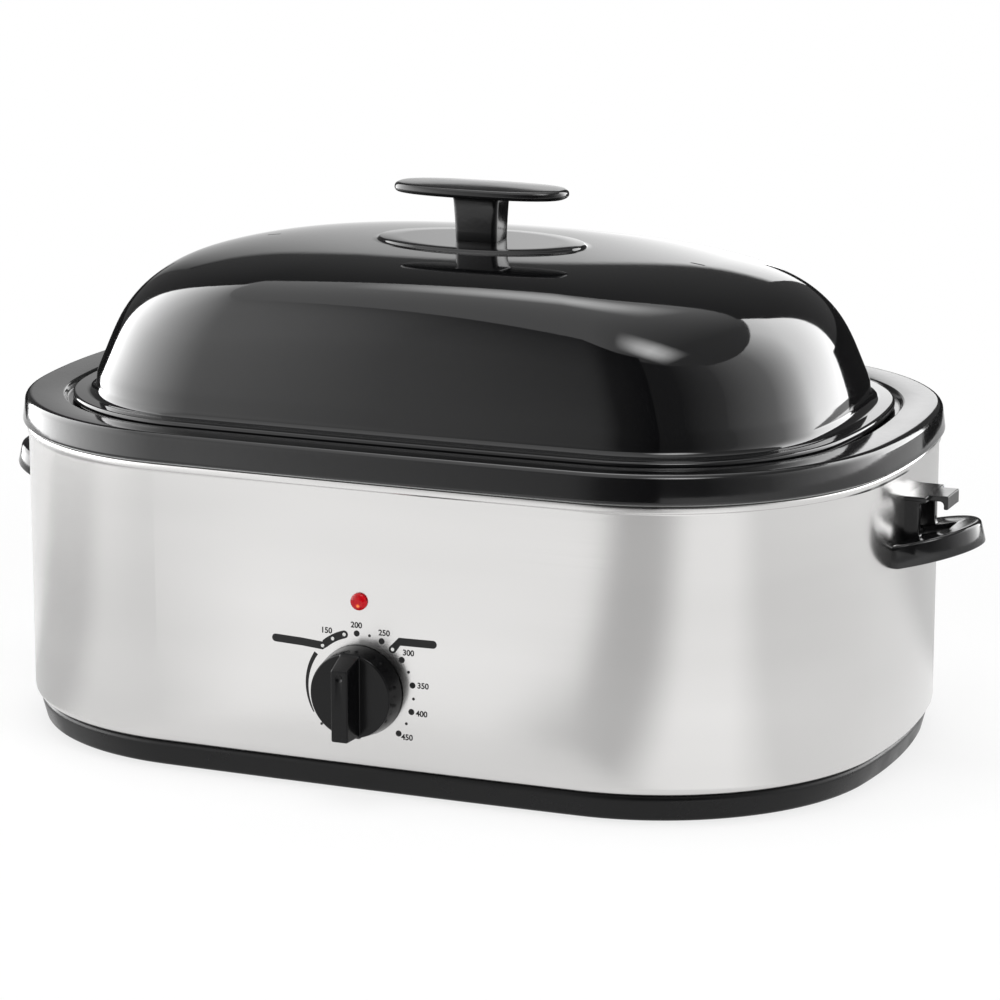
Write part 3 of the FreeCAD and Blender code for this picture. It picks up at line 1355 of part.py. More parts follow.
NODES = {
    "base_skirt": base_skirt,
    "bottom_plate": bottom_plate,
    "feet": feet,
    "outer_wrap": outer_wrap,
    "heating_well": heating_well,
    "well_brackets": well_brackets,
    "bracket_screws": bracket_screws,
    "heater_band": heater_band,
    "heater_tags": heater_tags,
    "insulation_blanket": insulation_blanket,
    "thermostat_body": thermostat_body,
    "thermostat_bush": thermostat_bush,
    "thermostat_nut": thermostat_nut,
    "thermostat_shaft": thermostat_shaft,
    "knob_spring_clip": knob_spring_clip,
    "control_knob": control_knob,
    "capillary_bulb": capillary_bulb,
    "bulb_clip": bulb_clip,
    "pilot_lamp_lens": pilot_lamp_lens,
    "pilot_lamp_collar": pilot_lamp_collar,
    "neon_lamp": neon_lamp,
    "cord_gland": cord_gland,
    "terminal_block": terminal_block,
    "lead_wires": lead_wires,
    "handle_backing_plates": handle_backing_plates,
    "handle_screws": handle_screws,
    "roasting_pan": roasting_pan,
    "rack_rim": rack_rim,
    "rack_cross_wires": rack_cross_wires,
    "rack_legs": rack_legs,
    "rack_loops": rack_loops,
    "lid_shell": lid_shell,
    "lid_handle": lid_handle,
    "lid_washer": lid_washer,
    "lid_screw": lid_screw,
}

for node, make in NODES.items():
    export(node, make())
right_handle = solid_of(side_handle())
export("side_handle_right", right_handle)
export("side_handle_left", mirrored_x(right_handle))
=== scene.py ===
import math

import bmesh
import bpy
import numpy as np
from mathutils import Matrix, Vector


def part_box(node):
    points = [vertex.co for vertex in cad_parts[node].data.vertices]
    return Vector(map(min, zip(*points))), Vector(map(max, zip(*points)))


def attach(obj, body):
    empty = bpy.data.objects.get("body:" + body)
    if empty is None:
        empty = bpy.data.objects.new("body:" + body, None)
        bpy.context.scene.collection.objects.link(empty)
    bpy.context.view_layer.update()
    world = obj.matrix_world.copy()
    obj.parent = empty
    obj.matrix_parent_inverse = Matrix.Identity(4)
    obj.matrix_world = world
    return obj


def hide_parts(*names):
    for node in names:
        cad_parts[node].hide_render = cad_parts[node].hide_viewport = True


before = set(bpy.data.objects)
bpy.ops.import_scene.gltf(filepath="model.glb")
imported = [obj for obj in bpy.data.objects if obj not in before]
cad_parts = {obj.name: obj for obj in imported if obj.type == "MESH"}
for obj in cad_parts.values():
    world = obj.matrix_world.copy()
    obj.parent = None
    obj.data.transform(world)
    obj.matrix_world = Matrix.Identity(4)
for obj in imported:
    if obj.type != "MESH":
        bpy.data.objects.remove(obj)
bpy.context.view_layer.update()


# ------------------------------------------------------------------ camera
# A long lens looks down a little from the front, right of the middle, so that the front panel, the right
# hand end and the top of the lid all show.

scene = bpy.context.scene
mm = 0.001
wrap_low, wrap_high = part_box("outer_wrap")
middle_y = (wrap_low.y + wrap_high.y) / 2.0
camera_turn = math.radians(22.39)
camera_rise = math.radians(13.37)
camera_distance = 2.4
looked_at = Vector((11.9 * mm, middle_y, 135.8 * mm))
camera_way = Vector((
    math.cos(camera_rise) * math.sin(camera_turn),
    -math.cos(camera_rise) * math.cos(camera_turn),
    math.sin(camera_rise),
))
camera_data = bpy.data.cameras.new("camera")
camera_data.sensor_width = 36.0
camera_data.lens = 143.87
camera = bpy.data.objects.new("camera", camera_data)
camera.location = looked_at + camera_way * camera_distance
camera.rotation_euler = camera_way.to_track_quat("Z", "Y").to_euler()
scene.collection.objects.link(camera)
scene.camera = camera


# ------------------------------------------------------------------ studio
# A white floor in a pale room, three softboxes that light the oven, and curved and level cards lit in steps
# of tone.  Only reflections show the cards, and they draw the shapes of the steel and the gloss black.


def linear(code):
    """An sRGB hex colour as linear red, green and blue, with an alpha of one."""
    parts = [int(code[i:i + 2], 16) / 255.0 for i in (1, 3, 5)]
    return [c / 12.92 if c <= 0.04045 else ((c + 0.055) / 1.055) ** 2.4 for c in parts] + [1.0]


def add(tree, kind, settings=None, links=None):
    """Adds a node, sets its properties or its sockets by name, and links sockets of other nodes to it.  A
    node named as a link stands for its first output."""
    node = tree.nodes.new("ShaderNode" + kind)
    for name, value in (settings or {}).items():
        if isinstance(name, str) and hasattr(node, name):
            setattr(node, name, value)
        else:
            node.inputs[name].default_value = value
    for name, source in (links or {}).items():
        tree.links.new(source.outputs[0] if hasattr(source, "outputs") else source, node.inputs[name])
    return node


def new_material(name):
    """An empty node material and its tree."""
    material = bpy.data.materials.new(name)
    material.use_nodes = True
    material.node_tree.nodes.clear()
    return material, material.node_tree


def to_output(tree, shader):
    """Adds the output node and links a shader to its surface."""
    add(tree, "OutputMaterial", {}, {"Surface": shader})


def grid_mesh(name, points, close_u=False, close_v=False, uv=None):
    """A mesh from a grid of points [u, v]: each cell of four neighbours is one face, wrapped where closed."""
    count_u, count_v = points.shape[:2]
    index = np.arange(count_u * count_v).reshape(count_u, count_v)
    along_u = np.concatenate([index, index[:1]]) if close_u else index
    whole = np.concatenate([along_u, along_u[:, :1]], axis=1) if close_v else along_u
    corners = (whole[:-1, :-1], whole[1:, :-1], whole[1:, 1:], whole[:-1, 1:])
    faces = np.stack([corner.ravel() for corner in corners], axis=1)
    mesh = bpy.data.meshes.new(name)
    mesh.from_pydata(points.reshape(-1, 3).tolist(), [], faces.tolist())
    if uv is not None:
        steps_u, steps_v = (np.arange(size - 1) for size in whole.shape)
        cell_u, cell_v = (c.ravel() for c in np.meshgrid(steps_u, steps_v, indexing="ij"))
        pick = np.stack([uv[cell_u + du, cell_v + dv] for du, dv in ((0, 0), (1, 0), (1, 1), (0, 1))], axis=1)
        mesh.uv_layers.new(name="UVMap").data.foreach_set("uv", pick.astype(np.float32).ravel())
    return mesh


def finish_piece(name, mesh, material, sharp_deg=40.0, outward=True, merge=0.0):
    """Makes the object of a piece: doubles merged, faces outwards, smooth except over sharp edges."""
    work = bmesh.new()
    work.from_mesh(mesh)
    if merge > 0.0:
        bmesh.ops.remove_doubles(work, verts=work.verts, dist=merge)
    if outward:
        bmesh.ops.recalc_face_normals(work, faces=work.faces)
    work.to_mesh(mesh)
    work.free()
    mesh.polygons.foreach_set("use_smooth", np.ones(len(mesh.polygons), bool))
    mesh.set_sharp_from_angle(angle=math.radians(sharp_deg))
    piece = bpy.data.objects.new(name, mesh)
    piece.data.materials.append(material)
    scene.collection.objects.link(piece)
    return piece


def grid_piece(name, points, material, close_u=False, close_v=False, uv=None, **finish):
    """The finished piece of a grid of points."""
    return finish_piece(name, grid_mesh(name, points, close_u, close_v, uv), material, **finish)


def uv_grid(row_u, row_v):
    """Map coordinates of a grid from the values along it and across it."""
    return np.stack(np.meshgrid(row_u, row_v, indexing="ij"), axis=-1)


def seen_directly(tree):
    """One for what the camera sees straight, in a gloss or through glass, and nothing for other light."""
    ray = add(tree, "LightPath")
    seen = ray.outputs["Is Camera Ray"]
    for way in ("Is Glossy Ray", "Is Transmission Ray"):
        seen = add(tree, "Math", {"operation": "ADD", "use_clamp": True}, {0: seen, 1: ray.outputs[way]})
    return seen


scene.view_settings.view_transform = "Standard"

# white paper: it takes the oven's soft shadow near by, and further out it is plain white to the eye
white_paper, tree = new_material("studio_white_card")
paper = add(tree, "BsdfDiffuse", {"Color": linear("#f4f4f4")})
place = add(tree, "TexCoord")
from_oven = add(tree, "VectorMath", {"operation": "LENGTH"}, {0: place.outputs["Object"]})
share = add(tree, "MapRange", {"interpolation_type": "SMOOTHSTEP", "From Min": 0.25, "From Max": 0.9,
                               "To Min": 0.78, "To Max": 1.0}, {"Value": from_oven.outputs["Value"]})
white = add(tree, "Emission", {"Color": linear("#ffffff"), "Strength": 1.0})
part = add(tree, "Math", {"operation": "MULTIPLY"}, {0: seen_directly(tree), 1: share})
to_output(tree, add(tree, "MixShader", {}, {0: part, 1: paper, 2: white}))

floor_half = 6.0
floor_points = np.zeros((2, 2, 3))
floor_points[..., :2] = floor_half * (2.0 * uv_grid([0.0, 1.0], [0.0, 1.0]) - 1.0)
floor = grid_piece("studio_floor", floor_points, white_paper, outward=False)

world = bpy.data.worlds.new("studio_room")
world.use_nodes = True
scene.world = world
tree = world.node_tree
tree.nodes.clear()
room, white = (add(tree, "Background", {"Color": linear("#ffffff"), "Strength": strength})
               for strength in (0.55, 1.0))
both = add(tree, "MixShader", {}, {0: seen_directly(tree), 1: room, 2: white})
add(tree, "OutputWorld", {}, {"Surface": both})


def card_material(name, across, upward, strength, over):
    """Card lit in steps of tone: one row of (share, tone) along it, times one from its foot to its top.
    With over, its light is laid over what stands behind it."""
    material, tree = new_material(name)
    place = add(tree, "UVMap", {"uv_map": "UVMap"})
    share = add(tree, "SeparateXYZ", {}, {0: place})
    ramps = []
    for axis, tones in (("X", across), ("Y", upward)):
        ramp = add(tree, "ValToRGB", {}, {0: share.outputs[axis]})
        stops = ramp.color_ramp.elements
        while len(stops) < len(tones):
            stops.new(0.5)
        for stop, (at, tone) in zip(stops, tones):
            stop.position = at
            stop.color = (tone, tone, tone, 1.0)
        ramps.append(ramp)
    both = add(tree, "Mix", {"data_type": "RGBA", "blend_type": "MULTIPLY", 0: 1.0}, {6: ramps[0], 7: ramps[1]})
    light = add(tree, "Emission", {"Strength": strength}, {"Color": both.outputs[2]})
    if over:
        light = add(tree, "AddShader", {}, {0: light, 1: add(tree, "BsdfTransparent")})
    to_output(tree, light)
    return material


def card(name, points, share, across, upward, strength, over=False):
    """A card that only reflections show: it is kept out of sight and out of the light."""
    material = card_material(name, across, upward, strength, over)
    sheet = grid_piece(name, points, material, uv=share, outward=False)
    sheet.visible_camera = sheet.visible_diffuse = sheet.visible_shadow = sheet.visible_transmission = False


def wall_card(name, reach, turn_from, turn_to, high, across, upward, strength):
    """An upright curved card at a reach from the oven, between two bearings from the front to the right."""
    steps_round, steps_up = 24, 9
    turn = np.radians(np.linspace(turn_from, turn_to, steps_round))
    points = np.empty((steps_round, steps_up, 3))
    points[..., 0] = reach * np.sin(turn)[:, None]
    points[..., 1] = -reach * np.cos(turn)[:, None] + middle_y
    points[..., 2] = np.linspace(0.0, high, steps_up)
    share = uv_grid(np.linspace(0.0, 1.0, steps_round), np.linspace(0.0, 1.0, steps_up))
    card(name, points, share, across, upward, strength)


def level_card(name, place, half_x, half_y, across, upward, strength, over=False):
    """A level card overhead, lit in steps of tone from left to right and from front to back."""
    share = uv_grid([0.0, 1.0], [0.0, 1.0])
    points = np.zeros((2, 2, 3)) + np.array(place)
    points[..., :2] += (2.0 * share - 1.0) * np.array([half_x, half_y])
    card(name, points, share, across, upward, strength, over)


even = ((0.0, 1.0), (1.0, 1.0))
soft = ((0.0, 0.0), (0.3, 0.75), (0.5, 1.0), (0.7, 0.75), (1.0, 0.0))
# reaches and a height in metres, and the strength of a gap that is left dark
near, far, tall, dim = 1.2, 4.0, 4.7, 0.12
# a lamp's light dies away along a wall as the cube of a cosine
dying = [(share, math.cos(share * math.pi / 2.0) ** 3) for share in np.linspace(0.0, 1.0, 7)]
wall_card("studio_wall_left", 1.4, -116.0, 25.0, 1.9, dying, ((0.0, 1.0), (0.4, 0.9), (1.0, 0.3)), 8.2)
wall_card("studio_room_front", far, 10.0, 72.0, tall, ((0.0, 0.15), (0.5, 0.15), (1.0, 0.75)), even, 0.75)
wall_card("studio_wall_right", far, 72.0, 160.0, 4.5, ((0.0, 0.1), (0.4, 0.3), (0.8, 1.0)), even, 6.6)
wall_card("studio_gap_right", far, 160.0, 187.0, tall, even, even, dim)
wall_card("studio_flag_right", near, 150.0, 187.0, 0.34, even, even, 0.02)
wall_card("studio_backdrop", 3.95, 187.0, 220.0, 1.5, ((0.2, 1.0), (0.4, 0.5), (1.0, 0.1)),
          ((0.0, 1.0), (0.9, 0.8), (1.0, 0.1)), 2.6)
wall_card("studio_backdrop_top", far, 187.0, 220.0, tall, even, even, dim)
wall_card("studio_gap_left", far, 220.0, 244.0, tall, even, even, dim)
wall_card("studio_flag_left", near, 220.0, 243.0, 0.28, even, even, 0.02)
level_card("studio_ceiling", (0.0, middle_y, 4.71), 4.2, 4.2,
           ((0.0, 1.0), (0.45, 0.8), (0.75, 0.25), (1.0, 0.25)), even, 1.6)
level_card("studio_lamp_back", (-1.15, 2.5, tall), 1.4, 1.1, soft, soft, 4.0, over=True)
level_card("studio_lamp_front", (1.5, -1.9, tall), 1.2, 1.2, soft, soft, 10.0, over=True)

# sheets of three papers laid round the oven, with soft joints: each draws an upright band on the steel
ring_steps, ring_height, joint_deg = 121, 0.5 * mm, 10.0
ring_turn = np.radians(np.linspace(-180.0, 180.0, ring_steps))
ring_reach = np.array([0.285, 1.15])
ring_points = np.full((ring_steps, 2, 3), ring_height)
ring_points[..., 0] = np.sin(ring_turn)[:, None] * ring_reach
ring_points[..., 1] = -np.cos(ring_turn)[:, None] * ring_reach + middle_y
grey_sheet, pale_sheet, white_sheet = 0.5, 0.7, 0.9
# each: the bearings from the front to the right that it lies between, and its paper
sheets = ((-180.0, -90.0, pale_sheet), (-90.0, -60.0, grey_sheet), (-60.0, -30.0, pale_sheet),
          (-30.0, 10.0, white_sheet), (10.0, 35.0, grey_sheet), (35.0, 60.0, white_sheet),
          (60.0, 130.0, pale_sheet), (130.0, 180.0, grey_sheet))
sheet_tones = [((turn + 180.0) / 360.0, paper) for start, stop, paper in sheets
               for turn in (start + joint_deg / 2.0, stop - joint_deg / 2.0)]
card("studio_sheets", ring_points, uv_grid(np.linspace(0.0, 1.0, ring_steps), [0.0, 1.0]),
     sheet_tones, even, 1.35)

oven_middle = Vector((0.0, middle_y, 0.15))
for side, place, width, height, watts in (
    ("right", (2.1, -0.9, 0.75), 0.9, 1.3, 26.0),
    ("left", (-1.9, -1.5, 0.8), 0.7, 1.3, 16.0),
    ("top", (0.0, -0.3, 2.2), 1.4, 1.0, 20.0),
):
    light = bpy.data.lights.new("softbox_" + side, "AREA")
    light.shape = "RECTANGLE"
    light.size, light.size_y = width, height
    light.energy = watts
    lamp = bpy.data.objects.new("softbox_" + side, light)
    lamp.location = place
    lamp.rotation_euler = (Vector(place) - oven_middle).to_track_quat("Z", "Y").to_euler()
    lamp.visible_glossy = False
    scene.collection.objects.link(lamp)


# ------------------------------------------------------------------ base skirt
# The black ring that the oven stands on, moulded in phenolic: a lip below that carries the bottom plate
# and a ledge above for the wrap.  It shows as a narrow semi-gloss band that slopes in to the floor.

body_half_length, body_half_width = 270.0 * mm, 179.0 * mm
side_radius, end_radius, corner_radius = 6600.0 * mm, 406.0 * mm, 141.0 * mm


def body_outline():
    """Plan of the body and its outward direction: eight arcs that meet tangent, on two long sides, four
    corners and two ends.  A corner's centre lies where it is one radius inside both of its neighbours."""
    side_y, end_x = side_radius - body_half_width, body_half_length - end_radius
    to_side, to_end = side_radius - corner_radius, end_radius - corner_radius
    span = math.hypot(end_x, side_y)
    along = (to_side ** 2 - to_end ** 2 + span ** 2) / (2.0 * span)
    across = math.sqrt(to_side ** 2 - along ** 2)
    ux, uy = end_x / span, -side_y / span
    corner_x, corner_y = max(
        (along * ux - s * across * uy, side_y + along * uy + s * across * ux) for s in (1.0, -1.0))
    side = math.atan2(corner_y - side_y, corner_x)
    end = math.atan2(corner_y, corner_x - end_x)
    arcs = (
        (0.0, side_y, side_radius, -math.pi - side, side, 36),
        (corner_x, corner_y, corner_radius, side, end, 30),
        (end_x, 0.0, end_radius, end, -end, 24),
        (corner_x, -corner_y, corner_radius, -end, -side, 30),
    )
    spots, ways = [], []
    for turn in (1.0, -1.0):
        for cx, cy, radius, start, stop, count in arcs:
            angle = start + (stop - start) * np.arange(count) / count
            direction = np.stack([np.cos(angle), np.sin(angle)], axis=1)
            spots.append(turn * (np.array([cx, cy]) + radius * direction))
            ways.append(turn * direction)
    return np.concatenate(spots), np.concatenate(ways)


plan, plan_way = body_outline()


def rounded_path(corners, steps=7):
    """Points of a path through (x, z, radius) corners: straight runs joined by arcs of the given radii."""
    runs = []
    for i, (x, z, radius) in enumerate(corners):
        here = np.array([x, z])
        if radius <= 0.0 or i in (0, len(corners) - 1):
            runs.append(here[None])
            continue
        back = np.array(corners[i - 1][:2]) - here
        on = np.array(corners[i + 1][:2]) - here
        back, on = back / np.hypot(*back), on / np.hypot(*on)
        half = math.acos(np.clip(back @ on, -1.0, 1.0)) / 2.0
        mid = (back + on) / np.hypot(*(back + on))
        centre = here + mid * radius / math.sin(half)
        start, stop = (np.arctan2(*(here + way * radius / math.tan(half) - centre)[::-1]) for way in (back, on))
        stop = start + (stop - start + math.pi) % (2.0 * math.pi) - math.pi
        angle = np.linspace(start, stop, steps)
        runs.append(centre + radius * np.stack([np.cos(angle), np.sin(angle)], axis=1))
    return np.concatenate(runs)


def left_of(corners, thickness):
    """The same path moved to its left by a sheet's thickness, its corner radii grown or shrunk to match."""
    spots = np.array([corner[:2] for corner in corners])
    run = np.diff(spots, axis=0)
    run_in, run_out = np.vstack([run[:1], run]), np.vstack([run, run[-1:]])
    n_in, n_out = (np.column_stack([-r[:, 1], r[:, 0]]) / np.hypot(*r.T)[:, None] for r in (run_in, run_out))
    moved = spots + (n_in + n_out) * thickness / (1.0 + np.sum(n_in * n_out, axis=1))[:, None]
    turns_left = run_in[:, 0] * run_out[:, 1] - run_in[:, 1] * run_out[:, 0] > 0.0
    radii = np.array([corner[2] for corner in corners])
    grown = np.where(radii > 0.0, np.maximum(radii + np.where(turns_left, -thickness, thickness), 0.0), 0.0)
    return np.column_stack([moved, grown]).tolist()


def sheet_loop(corners, thickness):
    """Closed section of a bent sheet: one skin along the path, and back along its left side."""
    return np.concatenate([rounded_path(corners), rounded_path(left_of(corners, thickness))[::-1]])


def round_body(section):
    """A section of (off, z) points carried round the body: each point goes out from the plan by its off."""
    points = np.empty((len(plan), len(section), 3))
    points[..., :2] = plan[:, None, :] + plan_way[:, None, :] * section[None, :, :1] + np.array([0.0, middle_y])
    points[..., 2] = section[None, :, 1]
    return points


def run_along(path):
    """The length run along a path up to each of its points."""
    return np.concatenate([[0.0], np.cumsum(np.hypot(*np.diff(path, axis=0).T))])


def carried(name, section, close_v=True):
    """The mesh of a section carried round the body.  Its map holds the length round the body and the length
    along the section, in metres."""
    loop = np.concatenate([section, section[:1]]) if close_v else section
    uv = uv_grid(run_along(np.concatenate([plan, plan[:1]])), run_along(loop))
    return grid_mesh(name, round_body(section), close_u=True, close_v=close_v, uv=uv)


def noise(tree, grain_mm, detail):
    """Noise in the object's own space, with grains of the given size."""
    place = add(tree, "TexCoord")
    settings = {"Scale": 1000.0 / grain_mm, "Detail": detail}
    return add(tree, "TexNoise", settings, {"Vector": place.outputs["Object"]})


def mapped(tree, source, low, high, start=0.0, stop=1.0):
    """A value's range from start to stop, mapped to a range from low to high."""
    settings = {"From Min": start, "From Max": stop, "To Min": low, "To Max": high}
    return add(tree, "MapRange", settings, {"Value": source})


def surface(name, colour, settings, rough=None, relief=None, spread=(0.3, 0.7)):
    """A material of one colour.  rough is a noise's grain and detail, and the two roughnesses that its spread
    is mapped to; relief is a noise's grain and detail, and the strength and depth of its bump."""
    material, tree = new_material(name)
    links = {}
    if rough:
        grain_mm, detail, low, high = rough
        links["Roughness"] = mapped(tree, noise(tree, grain_mm, detail), low, high, *spread)
    if relief:
        grain_mm, detail, strength, depth = relief
        bump = {"Strength": strength, "Distance": depth}
        links["Normal"] = add(tree, "Bump", bump, {"Height": noise(tree, grain_mm, detail)})
    to_output(tree, add(tree, "BsdfPrincipled", {"Base Color": linear(colour), **settings}, links))
    return material


def gloss_black(name, colour, roughness, wave_mm, wave_depth, specular=0.5):
    """A black finish with a very shallow orange peel of the given wave length."""
    return surface(name, colour, {"Specular IOR Level": specular},
                   (24.0, 3.0, roughness * 0.75, roughness * 1.3), (wave_mm, 1.5, 1.0, wave_depth))


# phenolic moulding, semi-gloss from a polished mould: black, with broad soft reflections
phenolic_satin = gloss_black("phenolic_moulded_satin", "#0a0a0b", 0.32, 2.2, 0.00002, specular=0.25)
skirt_low, skirt_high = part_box("base_skirt")
skirt_section = sheet_loop([
    (-24.0 * mm, skirt_low.z, 0.0),
    (-6.7 * mm, skirt_low.z, 3.0 * mm),
    (-2.7 * mm, skirt_high.z, 3.0 * mm),
    (-16.0 * mm, skirt_high.z, 0.0),
], 2.5 * mm)
skirt = finish_piece("skirt_ring", carried("skirt_ring", skirt_section), phenolic_satin)
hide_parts("base_skirt")
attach(skirt, "base")


# ------------------------------------------------------------------ bottom plate and feet
# A bright plated sheet with three rows of cooling slots, dropped in on the skirt's lip, and four moulded
# rubber feet pressed through it.  Both come straight from the construction model.


def sheet_steel(name, colour, roughness, grain_mm):
    """Plated or aluminised steel: metallic, with a fine mottled roughness of the given grain."""
    return surface(name, colour, {"Metallic": 1.0}, (grain_mm, 4.0, roughness * 0.8, roughness * 1.2))


def dress(material, *nodes):
    """Gives construction nodes that keep their own shape a material."""
    for node in nodes:
        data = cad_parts[node].data
        data.materials.clear()
        data.materials.append(material)


# mild steel, zinc plated: a soft grey metal with a faint 3 mm cloudiness
zinc_plate = sheet_steel("zinc_plated_sheet_steel", "#a9aaa8", 0.34, 3.0)
dress(zinc_plate, "bottom_plate", "well_brackets", "bracket_screws", "bulb_clip", "handle_backing_plates",
      "handle_screws", "knob_spring_clip", "pilot_lamp_collar")

# natural rubber, moulded: matt black with a grit left by the spark-eroded mould, about 0.4 mm across
rubber = surface("rubber_moulded_matt", "#1a1a1a", {"Roughness": 0.72}, relief=(0.4, 2.0, 0.5, 0.00003))
dress(rubber, "feet")


# ------------------------------------------------------------------ outer wrap
# One band of satin stainless steel, rolled in at the heel and under the rim, where a small bead is rolled
# for stiffness.  The grain runs round the body, so a light draws soft upright bands on it.


def two_tone(tree, share, first, second):
    """A mix of two sRGB hex colours by a share."""
    return add(tree, "Mix", {"data_type": "RGBA", 6: linear(first), 7: linear(second)}, {0: share}).outputs[2]


# stainless steel 430, belt ground: the grit's scratches run along the band, about 0.3 mm apart and here
# drawn 0.8 mm apart so that they show, and they spread a reflection up and down
stainless, tree = new_material("stainless_430_belt_ground")
place = add(tree, "UVMap", {"uv_map": "UVMap"})
scratch, broad = (
    add(tree, "TexNoise", {"Scale": 1.0, "Detail": detail, "Roughness": roughness},
        {"Vector": add(tree, "Mapping", {"Scale": scale}, {"Vector": place})})
    for scale, detail, roughness in (((6.0, 1250.0, 1.0), 3.0, 0.6), ((3.0, 14.0, 1.0), 2.0, 0.5)))
bump = add(tree, "Bump", {"Strength": 0.12, "Distance": 0.00001}, {"Height": scratch})
grain_way = add(tree, "Tangent", {"direction_type": "UV_MAP", "uv_map": "UVMap"})
shader = add(tree, "BsdfPrincipled", {"Metallic": 1.0, "Anisotropic": 0.6, "Anisotropic Rotation": 0.25},
             {"Base Color": two_tone(tree, mapped(tree, broad, 0.0, 1.0, 0.3, 0.7), "#cdcccb", "#d5d4d3"),
              "Roughness": mapped(tree, scratch, 0.18, 0.22, 0.25, 0.75),
              "Normal": bump, "Tangent": grain_way})
to_output(tree, shader)

bead_low = wrap_high.z - 3.6 * mm
bead_proud = 1.2 * mm
wrap_section = sheet_loop([
    (-11.0 * mm, wrap_low.z, 0.0),
    (0.0, wrap_low.z, 5.5 * mm),
    (0.0, bead_low - bead_proud, 1.6 * mm),
    (bead_proud, bead_low, 1.3 * mm),
    (bead_proud, wrap_high.z, 1.3 * mm),
    (-12.0 * mm, wrap_high.z, 0.0),
], 0.8 * mm)
wrap = finish_piece("wrap_band", carried("wrap_band", wrap_section), stainless)
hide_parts("outer_wrap")
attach(wrap, "base")


# ------------------------------------------------------------------ well and heater
# The fixed tub under the pan, deep drawn from matt aluminised steel, and what is wrapped round it: a mica
# heater band, a glass fibre blanket, the thermostat's bulb and the leads.  They show only from inside.


def dull_material(name, colour, roughness, grain_mm, depth):
    """A dull filler or sleeve: one colour, broken by a grain of the given size and depth."""
    return surface(name, colour, {"Roughness": roughness}, relief=(grain_mm, 5.0, 0.6, depth))


def bright_metal(name, colour, roughness, step_mm):
    """A drawn or turned metal: metallic, with faint lines in its roughness, 2 pi times the step apart."""
    material, tree = new_material(name)
    place = add(tree, "TexCoord")
    wave_rate = 20.0    # radians that a wave texture turns in one unit at a scale of one
    lines = add(tree, "TexWave", {"Scale": 1000.0 / step_mm / wave_rate, "Distortion": 0.6},
                {"Vector": place.outputs["Object"]})
    rough = mapped(tree, lines.outputs[1], roughness * 0.8, roughness * 1.25)
    to_output(tree, add(tree, "BsdfPrincipled", {"Base Color": linear(colour), "Metallic": 1.0},
                        {"Roughness": rough}))
    return material


# steel dipped in aluminium and silicon: a matt grey metal with a fine spangle
dress(sheet_steel("aluminised_sheet_steel", "#8f908f", 0.46, 1.6), "heating_well")
# mica paper bound with glass tape: brown and faintly flaky
dress(dull_material("mica_paper_and_glass_tape", "#8a7a5c", 0.6, 4.0, 0.0001), "heater_band")
# glass fibre needled to a felt: pale yellow, with a deep loose pile
dress(dull_material("glass_fibre_needled_felt", "#e8e2c8", 0.95, 1.5, 0.0008), "insulation_blanket")
# braided glass sleeve, varnished: off-white with a fine weave's grain
dress(dull_material("glass_sleeve_varnished", "#d8d4c8", 0.5, 0.6, 0.00005), "lead_wires")
# steatite, pressed and fired: a cream ceramic with a slight grain
dress(dull_material("steatite_pressed", "#e6ddc6", 0.55, 0.8, 0.00003), "terminal_block")
# free-cutting brass, turned
dress(bright_metal("brass_turned", "#b8964c", 0.22, 0.5), "thermostat_bush", "thermostat_nut",
      "thermostat_shaft", "heater_tags")
# copper tube, drawn
dress(bright_metal("copper_drawn", "#b06a3c", 0.3, 0.8), "capillary_bulb")
dress(phenolic_satin, "thermostat_body", "cord_gland")


# ------------------------------------------------------------------ printing on the front
# The thermostat's scale, screen printed in black on the wrap round the knob: dots every 25 degrees with
# larger ones and numbers at each 50, plain bars over the low and the middle settings, and a tapering arc
# with a small tick beyond its lower end.

# epoxy screen ink, with a fine mottle in its shine
ink_mottle = {"rough": (0.7, 2.0, 0.38, 0.55), "spread": (0.0, 1.0)}
ink = surface("screen_ink_black", "#0f0f10", {"Specular IOR Level": 0.3}, **ink_mottle)
# the same ink in pale grey, for the small dots on the bars
pale_ink = surface("screen_ink_pale_grey", "#dededc", {}, **ink_mottle)

knob_low, knob_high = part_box("control_knob")
knob_z = (knob_low.z + knob_high.z) / 2.0
ink_lift = 0.08 * mm
dot_radius = 33.0 * mm


def front_surface_y(x, lift):
    """Where the front of the wrap lies at x, moved outwards by lift: a long arc bulging to the front."""
    return middle_y - body_half_width - lift + side_radius - np.sqrt(side_radius ** 2 - np.asarray(x) ** 2)


def dial_angle(setting):
    """Clockwise angle from the top of a setting in degrees Fahrenheit."""
    at_200, per_dot = -3.0, 13.7
    return math.radians(at_200 + per_dot * (setting - 200.0) / 25.0)


def on_dial(angle, radius=dot_radius):
    """The x and z of a point at an angle clockwise from the top, on a circle round the knob's axis."""
    return radius * np.sin(angle), radius * np.cos(angle)


def printed(name, x, z, material=ink, lift=ink_lift):
    """A printed shape: a grid of points (x, z) about the knob's axis, laid on the front of the wrap."""
    points = np.stack([x, front_surface_y(x, lift), z + knob_z], axis=-1)
    piece = grid_piece(name, points, material, outward=False)
    if piece.data.polygons[0].normal.y > 0.0:
        piece.data.flip_normals()
    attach(piece, "base")


def printed_dot(name, angle, radius, **finish):
    """A disc on the circle of dots, as a polar grid: circles of growing radius about its middle."""
    turn = np.linspace(0.0, 2.0 * math.pi, 25)
    reach = np.array([0.02, 1.0])[:, None] * radius
    x, z = on_dial(angle)
    printed(name, x + reach * np.sin(turn), z + reach * np.cos(turn), **finish)


